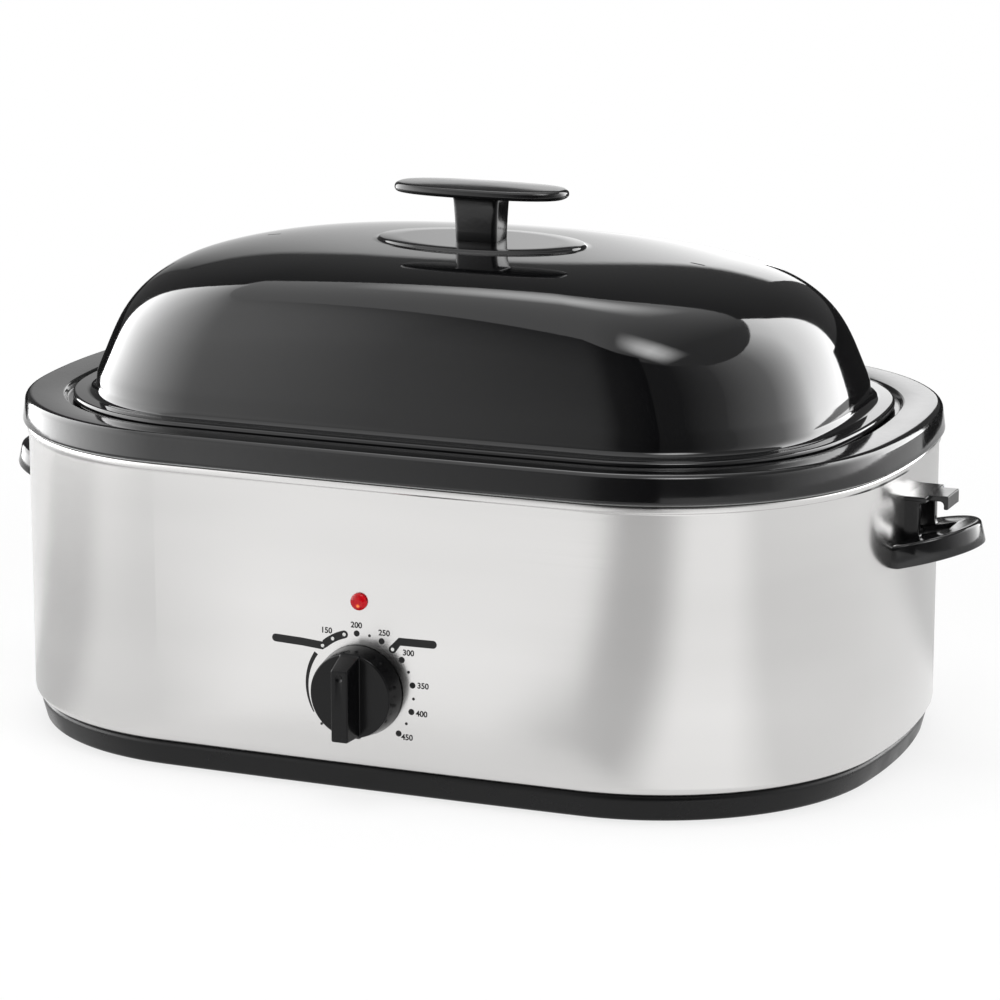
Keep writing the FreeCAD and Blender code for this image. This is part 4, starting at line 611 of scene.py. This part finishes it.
def printed_bar(name, line, half_width):
    """A bar of constant width with round ends along a line of (x, z) points."""
    run = np.gradient(line, axis=0)
    run /= np.hypot(run[:, 0], run[:, 1])[:, None]
    across = np.stack([-run[:, 1], run[:, 0]], axis=1)
    cap = np.linspace(-math.pi / 2.0, 0.0, 7)[:-1, None]
    back = half_width * np.sin(cap)
    wide = half_width * np.cos(cap)
    spine = np.concatenate([line[:1] + back * run[:1], line, line[-1:] - back[::-1] * run[-1:]])
    side = np.concatenate([wide * across[:1], half_width * across, wide[::-1] * across[-1:]])
    grid = np.stack([spine - side, spine + side], axis=1)
    printed(name, grid[..., 0], grid[..., 1])


large_dot, small_dot, pale_dot, tick_dot, bar_half = 1.8 * mm, 0.85 * mm, 1.05 * mm, 0.8 * mm, 2.3 * mm
for setting in range(200, 451, 25):
    if setting != 275:
        printed_dot(f"dial_dot_{setting}", dial_angle(setting), small_dot if setting % 50 else large_dot)

low_arc = np.column_stack(on_dial(np.linspace(dial_angle(125), dial_angle(175), 9)))
low_line = np.concatenate([np.array([(-52.4, 25.3), (-36.0, 24.7)]) * mm, low_arc])
printed_bar("dial_bar_low", low_line, bar_half)
middle_line = np.array([on_dial(dial_angle(275)), (24.6 * mm, 30.9 * mm), (45.0 * mm, 31.2 * mm)])
printed_bar("dial_bar_middle", middle_line, bar_half)
for setting in (125, 150, 175, 275):
    printed_dot(f"dial_pale_{setting}", dial_angle(setting), pale_dot, material=pale_ink, lift=2.0 * ink_lift)

arc_steps = 33
arc_turn = np.radians(np.linspace(-55.0, -119.0, arc_steps))[:, None]
taper = (0.25 + 1.05 * np.linspace(1.0, 0.0, arc_steps) ** 0.7) * mm
printed("dial_arc", *on_dial(arc_turn, dot_radius + np.array([-1.0, 1.0]) * taper[:, None]))
printed_dot("dial_tick_lowest", math.radians(-133.0), tick_dot)

number_size, number_weight = 4.7 * mm, 0.12 * mm
number_places = {150: (-20.5, 32.8), 200: (-1.9, 37.7), 250: (15.2, 34.8), 300: (30.0, 24.7),
                 350: (38.8, 6.3), 400: (37.9, -10.1), 450: (28.9, -24.8)}
for setting, (x, z) in number_places.items():
    curve = bpy.data.curves.new(f"dial_number_{setting}", "FONT")
    curve.body = str(setting)
    curve.size = number_size
    curve.offset = number_weight
    curve.align_x = curve.align_y = "CENTER"
    text = bpy.data.objects.new("dial_number_curve", curve)
    scene.collection.objects.link(text)
    mesh = bpy.data.meshes.new_from_object(text.evaluated_get(bpy.context.evaluated_depsgraph_get()))
    bpy.data.objects.remove(text)
    flat = np.empty(len(mesh.vertices) * 3, np.float32)
    mesh.vertices.foreach_get("co", flat)
    flat = flat.reshape(-1, 3)
    across = flat[:, 0] + x * mm
    placed = np.stack([across, front_surface_y(across, ink_lift), flat[:, 1] + z * mm + knob_z], axis=1)
    mesh.vertices.foreach_set("co", placed.astype(np.float32).ravel())
    number = finish_piece(f"dial_number_{setting}", mesh, ink, outward=False)
    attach(number, "base")


# ------------------------------------------------------------------ control knob
# The thermostat's knob: a hollow conical skirt with a raised grip bar that points to the setting, moulded
# in one piece in glossy phenolic and pushed on the shaft against a spring clip.


def turned(profile, foot, count=96):
    """A surface of revolution about an axis that points to the front through foot: each profile point
    (radius, height) goes round at its radius from the axis, at its height along it."""
    axis = Vector((0.0, -1.0, 0.0))
    first = axis.orthogonal().normalized()
    second = axis.cross(first)
    turn = 2.0 * math.pi * np.arange(count) / count
    radial = np.cos(turn)[:, None] * np.array(first) + np.sin(turn)[:, None] * np.array(second)
    return radial[:, None, :] * profile[None, :, :1] + np.array(axis) * profile[None, :, 1:] + np.array(foot)


# phenolic from a fine-blasted mould: darker to look at than the polished kind, its shine spread out
phenolic_knob = gloss_black("phenolic_moulded_knob", "#070708", 0.2, 2.6, 0.00002, specular=0.22)
knob_middle = Vector((0.0, knob_high.y, knob_z))
knob_depth, knob_bore, knob_ceiling = 13.5 * mm, 23.4 * mm, 10.5 * mm
skirt_profile = rounded_path([
    (0.0, knob_ceiling, 0.0),
    (knob_bore, knob_ceiling, 1.0 * mm),
    (knob_bore, 0.0, 0.0),
    (26.4 * mm, 0.0, 0.6 * mm),
    (24.4 * mm, knob_depth, 0.9 * mm),
    (0.0, knob_depth, 0.0),
])
same_place = 0.01 * mm
knob_skirt = grid_piece("knob_skirt", turned(skirt_profile, knob_middle), phenolic_knob, close_u=True,
                        merge=same_place)

bar_proud, bar_edge, bar_fillet, bar_corner, bar_sink = 14.5 * mm, 0.8 * mm, 1.2 * mm, 1.1 * mm, 0.4 * mm
bar_root_half, bar_top_half = 6.0 * mm, 5.0 * mm
bar_top, bar_top_root, bar_bottom = 18.5 * mm, 23.6 * mm, -23.3 * mm


def rounded_rectangle(half_x, half_z, radius, steps=7):
    """Points round a rectangle with rounded corners, a quarter turn of points at each corner."""
    radius = min(radius, half_x, half_z)
    turn = np.linspace(0.0, math.pi / 2.0, steps)
    corners = []
    for i, (sx, sz) in enumerate(((1.0, 1.0), (-1.0, 1.0), (-1.0, -1.0), (1.0, -1.0))):
        angle = turn + i * math.pi / 2.0
        corners.append(np.stack([sx * (half_x - radius) + radius * np.cos(angle),
                                 sz * (half_z - radius) + radius * np.sin(angle)], axis=1))
    return np.concatenate(corners)


def bar_ring(out, swell):
    """The grip bar's outline at a height over the knob's face, drafted, and grown all round by swell."""
    share = np.clip(out / bar_proud, 0.0, 1.0)
    half_x = bar_root_half + (bar_top_half - bar_root_half) * share + swell
    top = bar_top_root + (bar_top - bar_top_root) * share + swell
    bottom = bar_bottom - swell
    x, z = rounded_rectangle(half_x, (top - bottom) / 2.0, bar_corner + max(swell, -bar_edge)).T
    return np.column_stack([x, np.full(len(x), knob_depth + out), z + (top + bottom) / 2.0])


# a quarter of a unit circle between two tangents: how far it is from the one and from the other
quarter = np.linspace(0.0, math.pi / 2.0, 7)
falls, rises = 1.0 - np.sin(quarter), 1.0 - np.cos(quarter)
rings = [bar_ring(bar_fillet * fall - bar_sink, bar_fillet * rise)
         for fall, rise in zip(falls[::-1], rises[::-1])]
rings += [bar_ring(bar_proud * share, 0.0) for share in np.linspace(0.15, 0.8, 6)]
rings += [bar_ring(bar_proud - bar_edge * fall, -bar_edge * rise) for fall, rise in zip(falls, rises)]
# a round dish near the bar's upper end marks the setting
face = rings[-1]
dish_middle = np.array([0.0, bar_top - 4.4 * mm])
dish_turn = 2.0 * math.pi * np.arange(len(face)) / len(face)
spoke = np.column_stack([np.cos(dish_turn), np.sin(dish_turn)])
for radius, depth in ((2.4, 0.0), (2.1, 0.15), (1.5, 0.7), (0.8, 0.95), (0.0, 1.0)):
    spot = dish_middle + spoke * radius * mm
    rings.append(np.column_stack([spot[:, 0], face[:, 1] - depth * mm, spot[:, 1]]))
x, out, z = np.moveaxis(np.array(rings), -1, 0)
knob_bar = grid_piece("knob_grip_bar", np.stack([x, knob_middle.y - out, z + knob_z], axis=-1), phenolic_knob,
                      close_v=True, merge=same_place)
for piece in (knob_skirt, knob_bar):
    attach(piece, "knob")
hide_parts("control_knob")


# ------------------------------------------------------------------ pilot lamp
# A red moulded lens snapped into the panel over a small lit neon lamp, whose light through the lens is painted
# on the lens as a glow.

# polycarbonate, tinted through, with a wet shine.  The neon lamp's light through it is painted on as a faint
# red glow, with a painted highlight as one small warm glowing spot below the middle
lens_low, lens_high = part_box("pilot_lamp_lens")
lens_middle = (lens_low + lens_high) / 2.0
# the middle of the painted highlight: the lens glows warm in a small spot here
painted_spot_middle = (0.4 * mm, lens_low.y + 0.8 * mm, lens_middle.z - 1.9 * mm)
lens_red, tree = new_material("polycarbonate_red_clear")
place = add(tree, "TexCoord")
off_painted_spot = add(tree, "VectorMath", {"operation": "DISTANCE", 1: painted_spot_middle}, {0: place.outputs["Object"]})
# painted glow: faint red light over the whole lens, strongest and warm at the painted highlight
painted_glow = mapped(tree, off_painted_spot.outputs["Value"], 1.0, 0.0, 0.6 * mm, 1.6 * mm)
shader = add(tree, "BsdfPrincipled", {"Roughness": 0.05, "IOR": 1.58, "Specular IOR Level": 0.2},
             {"Base Color": two_tone(tree, noise(tree, 3.0, 1.0), "#900410", "#b40814"),
              "Emission Color": two_tone(tree, painted_glow, "#d00818", "#ffb050"),
              "Emission Strength": mapped(tree, painted_glow, 0.1, 0.9)})
to_output(tree, shader)

lens_r, lens_proud, lens_edge = 5.0 * mm, 3.2 * mm, 0.9 * mm
barrel_r, barrel_end, lens_back = 4.15 * mm, -6.0 * mm, 0.05 * mm
rise = np.linspace(0.0, 1.0, 13)[1:] * math.pi / 2.0
lens_profile = np.concatenate([
    [[0.0, barrel_end], [barrel_r, barrel_end], [barrel_r, lens_back], [lens_r - 0.2 * mm, lens_back],
     [lens_r, 0.25 * mm], [lens_r, lens_edge]],
    np.stack([lens_r * np.cos(rise) ** 0.8, lens_edge + (lens_proud - lens_edge) * np.sin(rise)], axis=1),
])
lens_profile[-1, 0] = 0.0
lens_foot = Vector((0.0, lens_low.y + lens_proud, lens_middle.z))
lens = grid_piece("pilot_lens_dome", turned(lens_profile, lens_foot, 64), lens_red, close_u=True,
                  merge=same_place)
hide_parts("pilot_lamp_lens")
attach(lens, "base")

# soda glass envelope of the neon lamp, with its orange glow
neon_glass, tree = new_material("soda_glass_neon_lit")
shader = add(tree, "BsdfPrincipled", {"Roughness": 0.03, "IOR": 1.52, "Transmission Weight": 0.6,
                                      "Emission Color": linear("#ff7a3a"), "Emission Strength": 0.5},
             {"Base Color": two_tone(tree, noise(tree, 2.0, 2.0), "#ff8a4a", "#ffb070")})
to_output(tree, shader)
dress(neon_glass, "neon_lamp")


# ------------------------------------------------------------------ side handles
# One moulding for each end, in glossy phenolic: a hollow D-shaped shelf with a slot for the fingers, and
# over it a bracket on two posts whose lipped tongue holds the tilted lid.

# phenolic from a polished mould: black, with a sharp shine over the faintest ripple
phenolic_gloss = gloss_black("phenolic_moulded_gloss", "#0e0e0f", 0.13, 2.6, 0.00002)
handle_root_z, handle_rise = 133.5 * mm, math.radians(14.0)
shelf_half, shelf_reach, shelf_height, shelf_wall = 38.0 * mm, 41.0 * mm, 13.5 * mm, 3.5 * mm
round_count, back_count, shelf_bury = 73, 25, 4.0 * mm


def wrap_end_x(y):
    """Where the outside of the wrap lies at the end of the body, at a distance y from the middle."""
    return body_half_length - end_radius + np.sqrt(end_radius ** 2 - np.asarray(y) ** 2)


def shelf_outline(inset):
    """Half an ellipse from one side of the shelf to the other, then back along the wrap, and which points
    are on the wrap."""
    turn = np.linspace(-math.pi / 2.0, math.pi / 2.0, round_count)
    round_x = body_half_length + (shelf_reach - inset) * np.cos(turn)
    round_y = (shelf_half - inset) * np.sin(turn)
    back_y = np.linspace(shelf_half - inset, inset - shelf_half, back_count)
    return (np.concatenate([round_x, np.full(back_count, body_half_length - shelf_bury)]),
            np.concatenate([round_y, back_y]), np.arange(round_count + back_count) >= round_count)


def slot_outline(grow):
    """The finger slot's rounded rectangle, met by a ray from its middle towards each outline point."""
    slot_low, slot_high, slot_half = 1.5 * mm, 25.0 * mm, 11.0 * mm
    middle_x = body_half_length + (slot_low + slot_high) / 2.0
    ring = rounded_rectangle((slot_high - slot_low) / 2.0 + grow, slot_half + grow, 2.4 * mm, 9)
    x, y, back = shelf_outline(0.0)
    want = np.arctan2(y, np.where(back, body_half_length, x) - middle_x)
    angle = np.arctan2(ring[:, 1], ring[:, 0])
    x, y = (np.interp(want, angle, values, period=2.0 * math.pi) for values in ring.T)
    return x + middle_x, y, np.zeros(len(x), bool)


def tilted(outline, z):
    """An outline at a height over the shelf's middle, raised about its root by the tilt; points on the wrap
    stay on the wrap."""
    x, y, on_wrap = outline
    reach = x - body_half_length
    out = np.where(on_wrap, wrap_end_x(y),
                   body_half_length + reach * math.cos(handle_rise) - z * math.sin(handle_rise))
    up = np.where(on_wrap, 0.0, reach * math.sin(handle_rise)) + z * math.cos(handle_rise)
    return np.stack([out, y + middle_y, up + handle_root_z], axis=-1)


half_height = shelf_height / 2.0
edge_r, slot_edge = 2.6 * mm, 0.8 * mm
shelf_steps = [(shelf_wall, half_height - shelf_wall), (shelf_wall, 0.5 * mm - half_height)]
shelf_steps += [(inset * mm, z * mm - half_height)
                for inset, z in ((3.2, 0.15), (2.6, 0.0), (0.9, 0.0), (0.27, 0.27), (0.0, 0.9), (0.0, 6.0))]
shelf_steps += [(edge_r * rise, half_height - edge_r * fall) for fall, rise in zip(falls, rises)]
rows = [tilted(slot_outline(0.0), half_height - shelf_wall)]
rows += [tilted(shelf_outline(inset), z) for inset, z in shelf_steps]
rows += [tilted(slot_outline(slot_edge * fall), half_height - slot_edge * rise)
         for fall, rise in zip(falls[::2], rises[::2])]
shelf_points = np.array(rows)


def extruded(name, outline, low, high, side=1.0, start_x=0.0, upright=True):
    """A flat outline drawn from low to high: two caps and a wall of quads between.  Upright it has points
    (x, y) and is drawn upwards, and else points (x, z) and is drawn across the body; x counts outwards."""
    count = len(outline)
    x, other = np.concatenate([outline, outline]).T
    drawn = np.repeat([low, high], count)
    y, z = (other, drawn) if upright else (drawn, other)
    points = np.column_stack([side * (start_x + x), y + middle_y, z])
    ring = np.arange(count)
    following = np.roll(ring, -1)
    wall = np.stack([ring, following, following + count, ring + count], axis=1).tolist()
    mesh = bpy.data.meshes.new(name)
    mesh.from_pydata(points.tolist(), [], wall + [ring[::-1].tolist(), (ring + count).tolist()])
    return mesh


bury = 2.0 * mm
roof_z, roof_t, roof_out, roof_half = 165.6 * mm, 3.4 * mm, 12.0 * mm, 19.0 * mm
roof_outline = np.array([[-bury, -roof_half], [roof_out, -roof_half], [roof_out, roof_half],
                         [-bury, roof_half]])
# a post seen from the side: its front runs at a distance from the wrap, with a hollow curve at foot and head
post_out, post_foot, post_head, post_top = 8.0 * mm, 4.0 * mm, 2.5 * mm, roof_z - 1.5 * mm
post_outline = np.concatenate([
    [[-bury, handle_root_z + 3.0 * mm], [post_out + post_foot, handle_root_z + 3.0 * mm]],
    np.column_stack([post_out + post_foot * falls[::2], handle_root_z + 7.0 * mm + 5.0 * mm * rises[::2]]),
    np.column_stack([post_out + post_head * rises[::2], roof_z - roof_t - post_head * falls[::2]]),
    [[post_out + post_head, post_top], [-bury, post_top]],
])
# the tongue seen from the side: a plate with a lip turned down at its end
tongue_out, lip_drop, tongue_under = 23.0 * mm, 8.0 * mm, roof_z - roof_t
lip_in = tongue_out - 2.6 * mm
tongue_outline = np.array([
    [-bury, tongue_under], [lip_in - 2.0 * mm, tongue_under], [lip_in - 0.6 * mm, tongue_under - 0.6 * mm],
    [lip_in, tongue_under - 2.0 * mm], [lip_in, roof_z - lip_drop], [tongue_out, roof_z - lip_drop],
    [tongue_out, roof_z], [-bury, roof_z],
])
# each: its outline, from where to where it is drawn, whether upwards, and the radius of its edges
bracket = (
    ("post_front", post_outline, -19.0 * mm, -14.0 * mm, False, 0.8 * mm),
    ("post_back", post_outline, 14.0 * mm, 19.0 * mm, False, 0.8 * mm),
    ("tongue", tongue_outline, -11.5 * mm, 11.5 * mm, False, 0.7 * mm),
    ("roof", roof_outline, roof_z - roof_t, roof_z - 0.02 * mm, True, 0.9 * mm),
)

for side, hand in ((1.0, "right"), (-1.0, "left")):
    shelf = grid_piece(f"handle_{hand}_shelf", shelf_points * np.array([side, 1.0, 1.0]), phenolic_gloss,
                       close_u=True, close_v=True, sharp_deg=50.0, merge=same_place)
    pieces = [shelf]
    for kind, outline, low, high, upright, radius in bracket:
        name = f"handle_{hand}_{kind}"
        mesh = extruded(name, outline, low, high, side, body_half_length, upright)
        piece = finish_piece(name, mesh, phenolic_gloss)
        bevel = piece.modifiers.new("moulded_edges", "BEVEL")
        bevel.width = radius
        bevel.segments = 3
        bevel.limit_method = "ANGLE"
        bevel.angle_limit = math.radians(35.0)
        bevel.harden_normals = True
        pieces.append(piece)
    for piece in pieces:
        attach(piece, "base")
    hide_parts(f"side_handle_{hand}")


# ------------------------------------------------------------------ roasting pan
# Drawn steel in gloss black porcelain enamel: a hemmed skirt that rests on the body's rim, a broad rim
# with a recess that seats the lid, and a deep oval pan inside it.

# porcelain enamel over steel: a thick glass coat, so its shine is sharp and very slightly rippled
enamel = gloss_black("porcelain_enamel_black", "#0b0b0c", 0.1, 5.0, 0.00003)
pan_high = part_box("roasting_pan")[1]
pan_rest, pan_seat, pan_floor, pan_t = 184.9 * mm, pan_high.z - 5.1 * mm, 48.0 * mm, 1.2 * mm


def closed_over(mesh):
    """Fills the open ends of a carried sheet or a tube with flat faces."""
    work = bmesh.new()
    work.from_mesh(mesh)
    bmesh.ops.holes_fill(work, edges=[edge for edge in work.edges if edge.is_boundary])
    work.to_mesh(mesh)
    work.free()
    return mesh


pan_corners = [
    (-3.4 * mm, pan_rest, 0.0),
    (3.6 * mm, pan_rest, 1.7 * mm),
    (1.4 * mm, pan_high.z, 4.5 * mm),
    (-21.5 * mm, pan_high.z - 1.2 * mm, 1.6 * mm),
    (-23.5 * mm, pan_seat, 1.6 * mm),
    (-38.0 * mm, pan_seat, 5.0 * mm),
    (-42.0 * mm, pan_floor, 28.0 * mm),
    (-71.0 * mm, pan_floor, 0.0),
]
pan_section = np.concatenate([rounded_path(pan_corners)[::-1], rounded_path(left_of(pan_corners, pan_t))])
pan = finish_piece("pan_enamelled", closed_over(carried("pan_enamelled", pan_section, close_v=False)), enamel)
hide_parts("roasting_pan")
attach(pan, "pan")


# ------------------------------------------------------------------ roasting rack
# Bright chromed wire, welded: an oval rim on four feet, cross wires, and a lifting loop at each end.

# drawn steel wire, chrome plated: a mirror with faint drawing lines
chrome = bright_metal("chromed_steel_wire", "#c9cacc", 0.1, 0.6)
rack_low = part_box("rack_legs")[0]
rack_off = -76.0 * mm
rack_z = rack_low.z + 14.0 * mm
rim_line = round_body(np.array([[rack_off, rack_z]]))[:, 0]


def wire(line, radius, beside, closed=False, count=12):
    """A tube round a line of points: at each point a circle stands square to the line's run.  The line never
    runs along beside."""
    run = np.roll(line, -1, axis=0) - np.roll(line, 1, axis=0) if closed else np.gradient(line, axis=0)
    run /= np.linalg.norm(run, axis=1)[:, None]
    first = np.cross(run, beside)
    first /= np.linalg.norm(first, axis=1)[:, None]
    second = np.cross(run, first)
    turn = 2.0 * math.pi * np.arange(count) / count
    ring = np.cos(turn)[None, :, None] * first[:, None] + np.sin(turn)[None, :, None] * second[:, None]
    return closed_over(grid_mesh("rack_wire", line[:, None, :] + radius * ring, close_u=closed, close_v=True))


def at_x(x, y, z):
    """A line of points in the upright plane across the body at x."""
    y, z = np.broadcast_arrays(y, z)
    return np.column_stack([np.full(len(y), x), y + middle_y, z])


def rim_reach(x):
    """Half the width of the rack's rim at x, read along the front half of its outline."""
    front = rim_line[rim_line[:, 1] < middle_y]
    front = front[np.argsort(front[:, 0])]
    return middle_y - np.interp(x, front[:, 0], front[:, 1])


rim_r, cross_r, leg_r = 2.5 * mm, 1.6 * mm, 2.1 * mm
x_way, up_way = (1.0, 0.0, 0.0), (0.0, 0.0, 1.0)
wires = [wire(rim_line, rim_r, up_way, closed=True)]
for x in 25.0 * mm * np.arange(-7, 8):
    wires.append(wire(at_x(x, rim_reach(x) * np.linspace(-1.0, 1.0, 5), rack_z), cross_r, up_way))
for x in (-120.0 * mm, 120.0 * mm):
    for y in (-rim_reach(x), rim_reach(x)):
        wires.append(wire(at_x(x, y, np.linspace(rack_low.z, rack_z, 3)), leg_r, x_way))
loop_half, loop_height, loop_bend = 42.0 * mm, 78.0 * mm, 14.0 * mm
loop_y, loop_z = rounded_path([(-loop_half, 0.0, 0.0), (-loop_half, loop_height, loop_bend),
                               (loop_half, loop_height, loop_bend), (loop_half, 0.0, 0.0)], 11).T
loop_x = body_half_length - end_radius + math.sqrt((end_radius + rack_off) ** 2 - loop_half ** 2)
for x in (-loop_x, loop_x):
    wires.append(wire(at_x(x, loop_y, loop_z + rack_z), leg_r, x_way))

work = bmesh.new()
for tube in wires:
    work.from_mesh(tube)
    bpy.data.meshes.remove(tube)
rack_mesh = bpy.data.meshes.new("rack_wires")
work.to_mesh(rack_mesh)
work.free()
rack = finish_piece("rack_wires", rack_mesh, chrome)
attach(rack, "rack")
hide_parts("rack_rim", "rack_cross_wires", "rack_legs", "rack_loops")


# ------------------------------------------------------------------ lid
# Pressed steel in the same black enamel: a rolled bead that rests in the pan's recess, a flat flange, a
# wall that rises and leans in to a domed shoulder, and a low oval step on top with a steam vent each side.

lid_rest = 197.0 * mm
lid_t = 1.2 * mm
lid_wall_off, lid_wall_rise = -41.6 * mm, 16.5 * mm
row_count = 61
# the wall's stations from foot to crown: inset at the ends, inset at the sides, height, and how oval it is
stations = np.array([
    (-lid_wall_off, -lid_wall_off, lid_wall_rise, 0.0),
    (45.5 * mm, 45.0 * mm, 30.0 * mm, 0.08),
    (55.0 * mm, 49.5 * mm, 53.0 * mm, 0.20),
    (71.5 * mm, 56.5 * mm, 71.5 * mm, 0.38),
    (102.0 * mm, 70.0 * mm, 84.5 * mm, 0.60),
    (151.0 * mm, 102.0 * mm, 92.6 * mm, 0.85),
    (204.0 * mm, 139.0 * mm, 94.9 * mm, 1.0),
])


def spline_rows(rows, count):
    """Natural cubic curve through rows of values, spaced by the distance between rows, sampled evenly."""
    gap = np.sqrt(np.sum(np.diff(rows[:, :3], axis=0) ** 2, axis=1))
    at = np.concatenate([[0.0], np.cumsum(gap)])
    size = len(at)
    matrix, pull = np.eye(size), np.zeros((size, rows.shape[1]))
    for i in range(1, size - 1):
        matrix[i, i - 1:i + 2] = gap[i - 1], 2.0 * (gap[i - 1] + gap[i]), gap[i]
        pull[i] = 6.0 * ((rows[i + 1] - rows[i]) / gap[i] - (rows[i] - rows[i - 1]) / gap[i - 1])
    bend = np.linalg.solve(matrix, pull)
    where = np.linspace(0.0, at[-1], count)
    cell = np.clip(np.searchsorted(at, where) - 1, 0, size - 2)
    h, b, a = gap[cell][:, None], (where - at[cell])[:, None], (at[cell + 1] - where)[:, None]
    return (bend[cell] * a ** 3 / (6.0 * h) + bend[cell + 1] * b ** 3 / (6.0 * h)
            + (rows[cell] / h - bend[cell] * h / 6.0) * a + (rows[cell + 1] / h - bend[cell + 1] * h / 6.0) * b)


def level_ring(flat, z):
    """A flat outline about the body's middle, laid level at a height."""
    return np.column_stack([flat[:, 0], flat[:, 1] + middle_y, np.full(len(flat), z)])


def lid_ring(inset_x, inset_y, height, roundness):
    """The body's outline at the lid's wall, scaled to the station and drawn towards an ellipse."""
    flat = (plan + plan_way * lid_wall_off) / np.array([body_half_length + lid_wall_off,
                                                        body_half_width + lid_wall_off])
    pull = 1.0 - roundness + roundness / np.hypot(flat[:, 0], flat[:, 1])
    spot = flat * pull[:, None] * np.array([body_half_length - inset_x, body_half_width - inset_y])
    return level_ring(spot, lid_rest + height)


def lid_rings(inside):
    """The lid's rings from the foot of its wall to the middle of its crown, for one of its two skins."""
    leaned = spline_rows(stations, row_count)
    if inside:
        before, after = np.roll(leaned, 1, axis=0), np.roll(leaned, -1, axis=0)
        before[0], after[-1] = leaned[0], leaned[-1]
        rise = after[:, 2] - before[:, 2]
        lean_x, lean_y = (np.arctan2(after[:, i] - before[:, i], rise) for i in (0, 1))
        sink = (np.sin(lean_x) + np.sin(lean_y)) / 2.0
        leaned = leaned + lid_t * np.column_stack([np.cos(lean_x), np.cos(lean_y), -sink, np.zeros(row_count)])
    x, y, z, roundness = leaned[-1]
    step_in, step_up = 2.6 * mm, 1.8 * mm
    step = [(x + step_in * t, y + step_in * t, z + step_up * (3.0 * t ** 2 - 2.0 * t ** 3), roundness)
            for t in np.linspace(0.0, 1.0, 7)[1:]]
    rings = [lid_ring(*row) for row in list(leaned[1:]) + step]
    top = rings[-1]
    middle = np.array([0.0, middle_y, top[0, 2]])
    return rings + [middle + (top - middle) * share for share in (0.8, 0.5, 0.2, 0.0)]


bead_off, bead_z, bead_r = -26.6 * mm, lid_rest + 5.2 * mm, 2.1 * mm
flange_corners = [
    (-31.6 * mm, lid_rest, 0.0),
    (bead_off, lid_rest, bead_r),
    (bead_off, bead_z, bead_r),
    (-40.2 * mm, bead_z, 6.0 * mm),
    (lid_wall_off, lid_rest + lid_wall_rise, 0.0),
]
skins = []
for corners, inside in ((flange_corners, False), (left_of(flange_corners, lid_t), True)):
    flange = round_body(rounded_path(corners, 9)).transpose(1, 0, 2)
    skins.append(np.concatenate([flange, lid_rings(inside)]))
outer, inner = skins
# the same enamel, thicker and smoother on the large dome
enamel_lid = gloss_black("porcelain_enamel_black_lid", "#0b0b0c", 0.05, 6.0, 0.00001)
lid = grid_piece("lid_dome", np.concatenate([inner[::-1], outer]), enamel_lid, close_u=True, close_v=True,
                 merge=same_place)

# the two vents are pierced slots with round ends
vent_x = 136.0 * mm
vent = rounded_rectangle(4.5 * mm, 0.9 * mm, 0.88 * mm, 5)
for side in (-1.0, 1.0):
    punch = extruded("vent_punch", vent, lid_rest + 60.0 * mm, lid_rest + 110.0 * mm, start_x=side * vent_x)
    cutter = bpy.data.objects.new("vent_punch", punch)
    scene.collection.objects.link(cutter)
    cut = lid.modifiers.new("vent", "BOOLEAN")
    cut.object = cutter
    cut.operation = "DIFFERENCE"
    pierced = bpy.data.meshes.new_from_object(lid.evaluated_get(bpy.context.evaluated_depsgraph_get()))
    lid.modifiers.clear()
    lid.data = pierced
    bpy.data.objects.remove(cutter)
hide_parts("lid_shell")
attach(lid, "lid")


# ------------------------------------------------------------------ lid handle
# A slightly crowned grip with full rounded ends, on a short stem that widens upwards, moulded in glossy
# phenolic and held by one screw from inside the lid through a broad washer.

crown_z = lid_rest + 96.7 * mm
grip_z = crown_z + 26.8 * mm
grip_half_x, grip_half_y = 54.3 * mm, 21.2 * mm
grip_edge_t, grip_crown = 5.6 * mm, 1.2 * mm
grip_lower_r, grip_upper_r = 2.4 * mm, 2.9 * mm
fullness = 0.78
grip_turn = 2.0 * math.pi * (np.arange(120) + 0.5) / 120
grip_outline = np.column_stack([half * np.sign(way) * np.abs(way) ** fullness for half, way in (
    (grip_half_x, np.cos(grip_turn)), (grip_half_y, np.sin(grip_turn)))])
grip_run = np.roll(grip_outline, -1, axis=0) - np.roll(grip_outline, 1, axis=0)
grip_way = np.column_stack([grip_run[:, 1], -grip_run[:, 0]]) / np.hypot(*grip_run.T)[:, None]


def grip_ring(inset, height, share=1.0):
    """The grip's outline moved in along its normals by inset, then drawn to its middle by share."""
    return level_ring((grip_outline - grip_way * inset) * share, grip_z + height)


grip_points = np.array(
    [grip_ring(grip_lower_r, 0.0, share) for share in (0.0, 0.5, 0.9)]
    + [grip_ring(grip_lower_r * fall, grip_lower_r * rise) for fall, rise in zip(falls, rises)]
    + [grip_ring(grip_upper_r * rise, grip_edge_t - grip_upper_r * fall) for fall, rise in zip(falls, rises)]
    + [grip_ring(grip_upper_r, grip_edge_t + grip_crown * (1.0 - t * t), t) for t in np.linspace(0.9, 0.0, 9)])
grip = grid_piece("lid_handle_grip", grip_points, phenolic_gloss, close_v=True, merge=same_place)

# the stem's rings from its foot to its head: height, half length and half width; the first is drawn to a point
stem_rows = ((0.0, 13.0, 10.2), (0.0, 13.0, 10.2), (0.3, 13.1, 10.3), (6.0, 13.3, 10.4), (13.0, 13.6, 10.6),
             (20.0, 14.0, 10.9), (24.0, 14.3, 11.1), (25.8, 14.6, 11.4), (26.7, 15.3, 12.1), (27.2, 16.3, 13.0))
stem = [level_ring(rounded_rectangle(half_x * mm, half_y * mm, 3.2 * mm, 9), crown_z + height * mm)
        for height, half_x, half_y in stem_rows]
stem[0] = stem[0] * np.array([0.0, 0.0, 1.0]) + np.array([0.0, middle_y, 0.0])
handle_stem = grid_piece("lid_handle_stem", np.array(stem), phenolic_gloss, close_v=True, merge=same_place)
for piece in (grip, handle_stem):
    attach(piece, "lid")
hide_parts("lid_handle")
dress(zinc_plate, "lid_washer", "lid_screw")
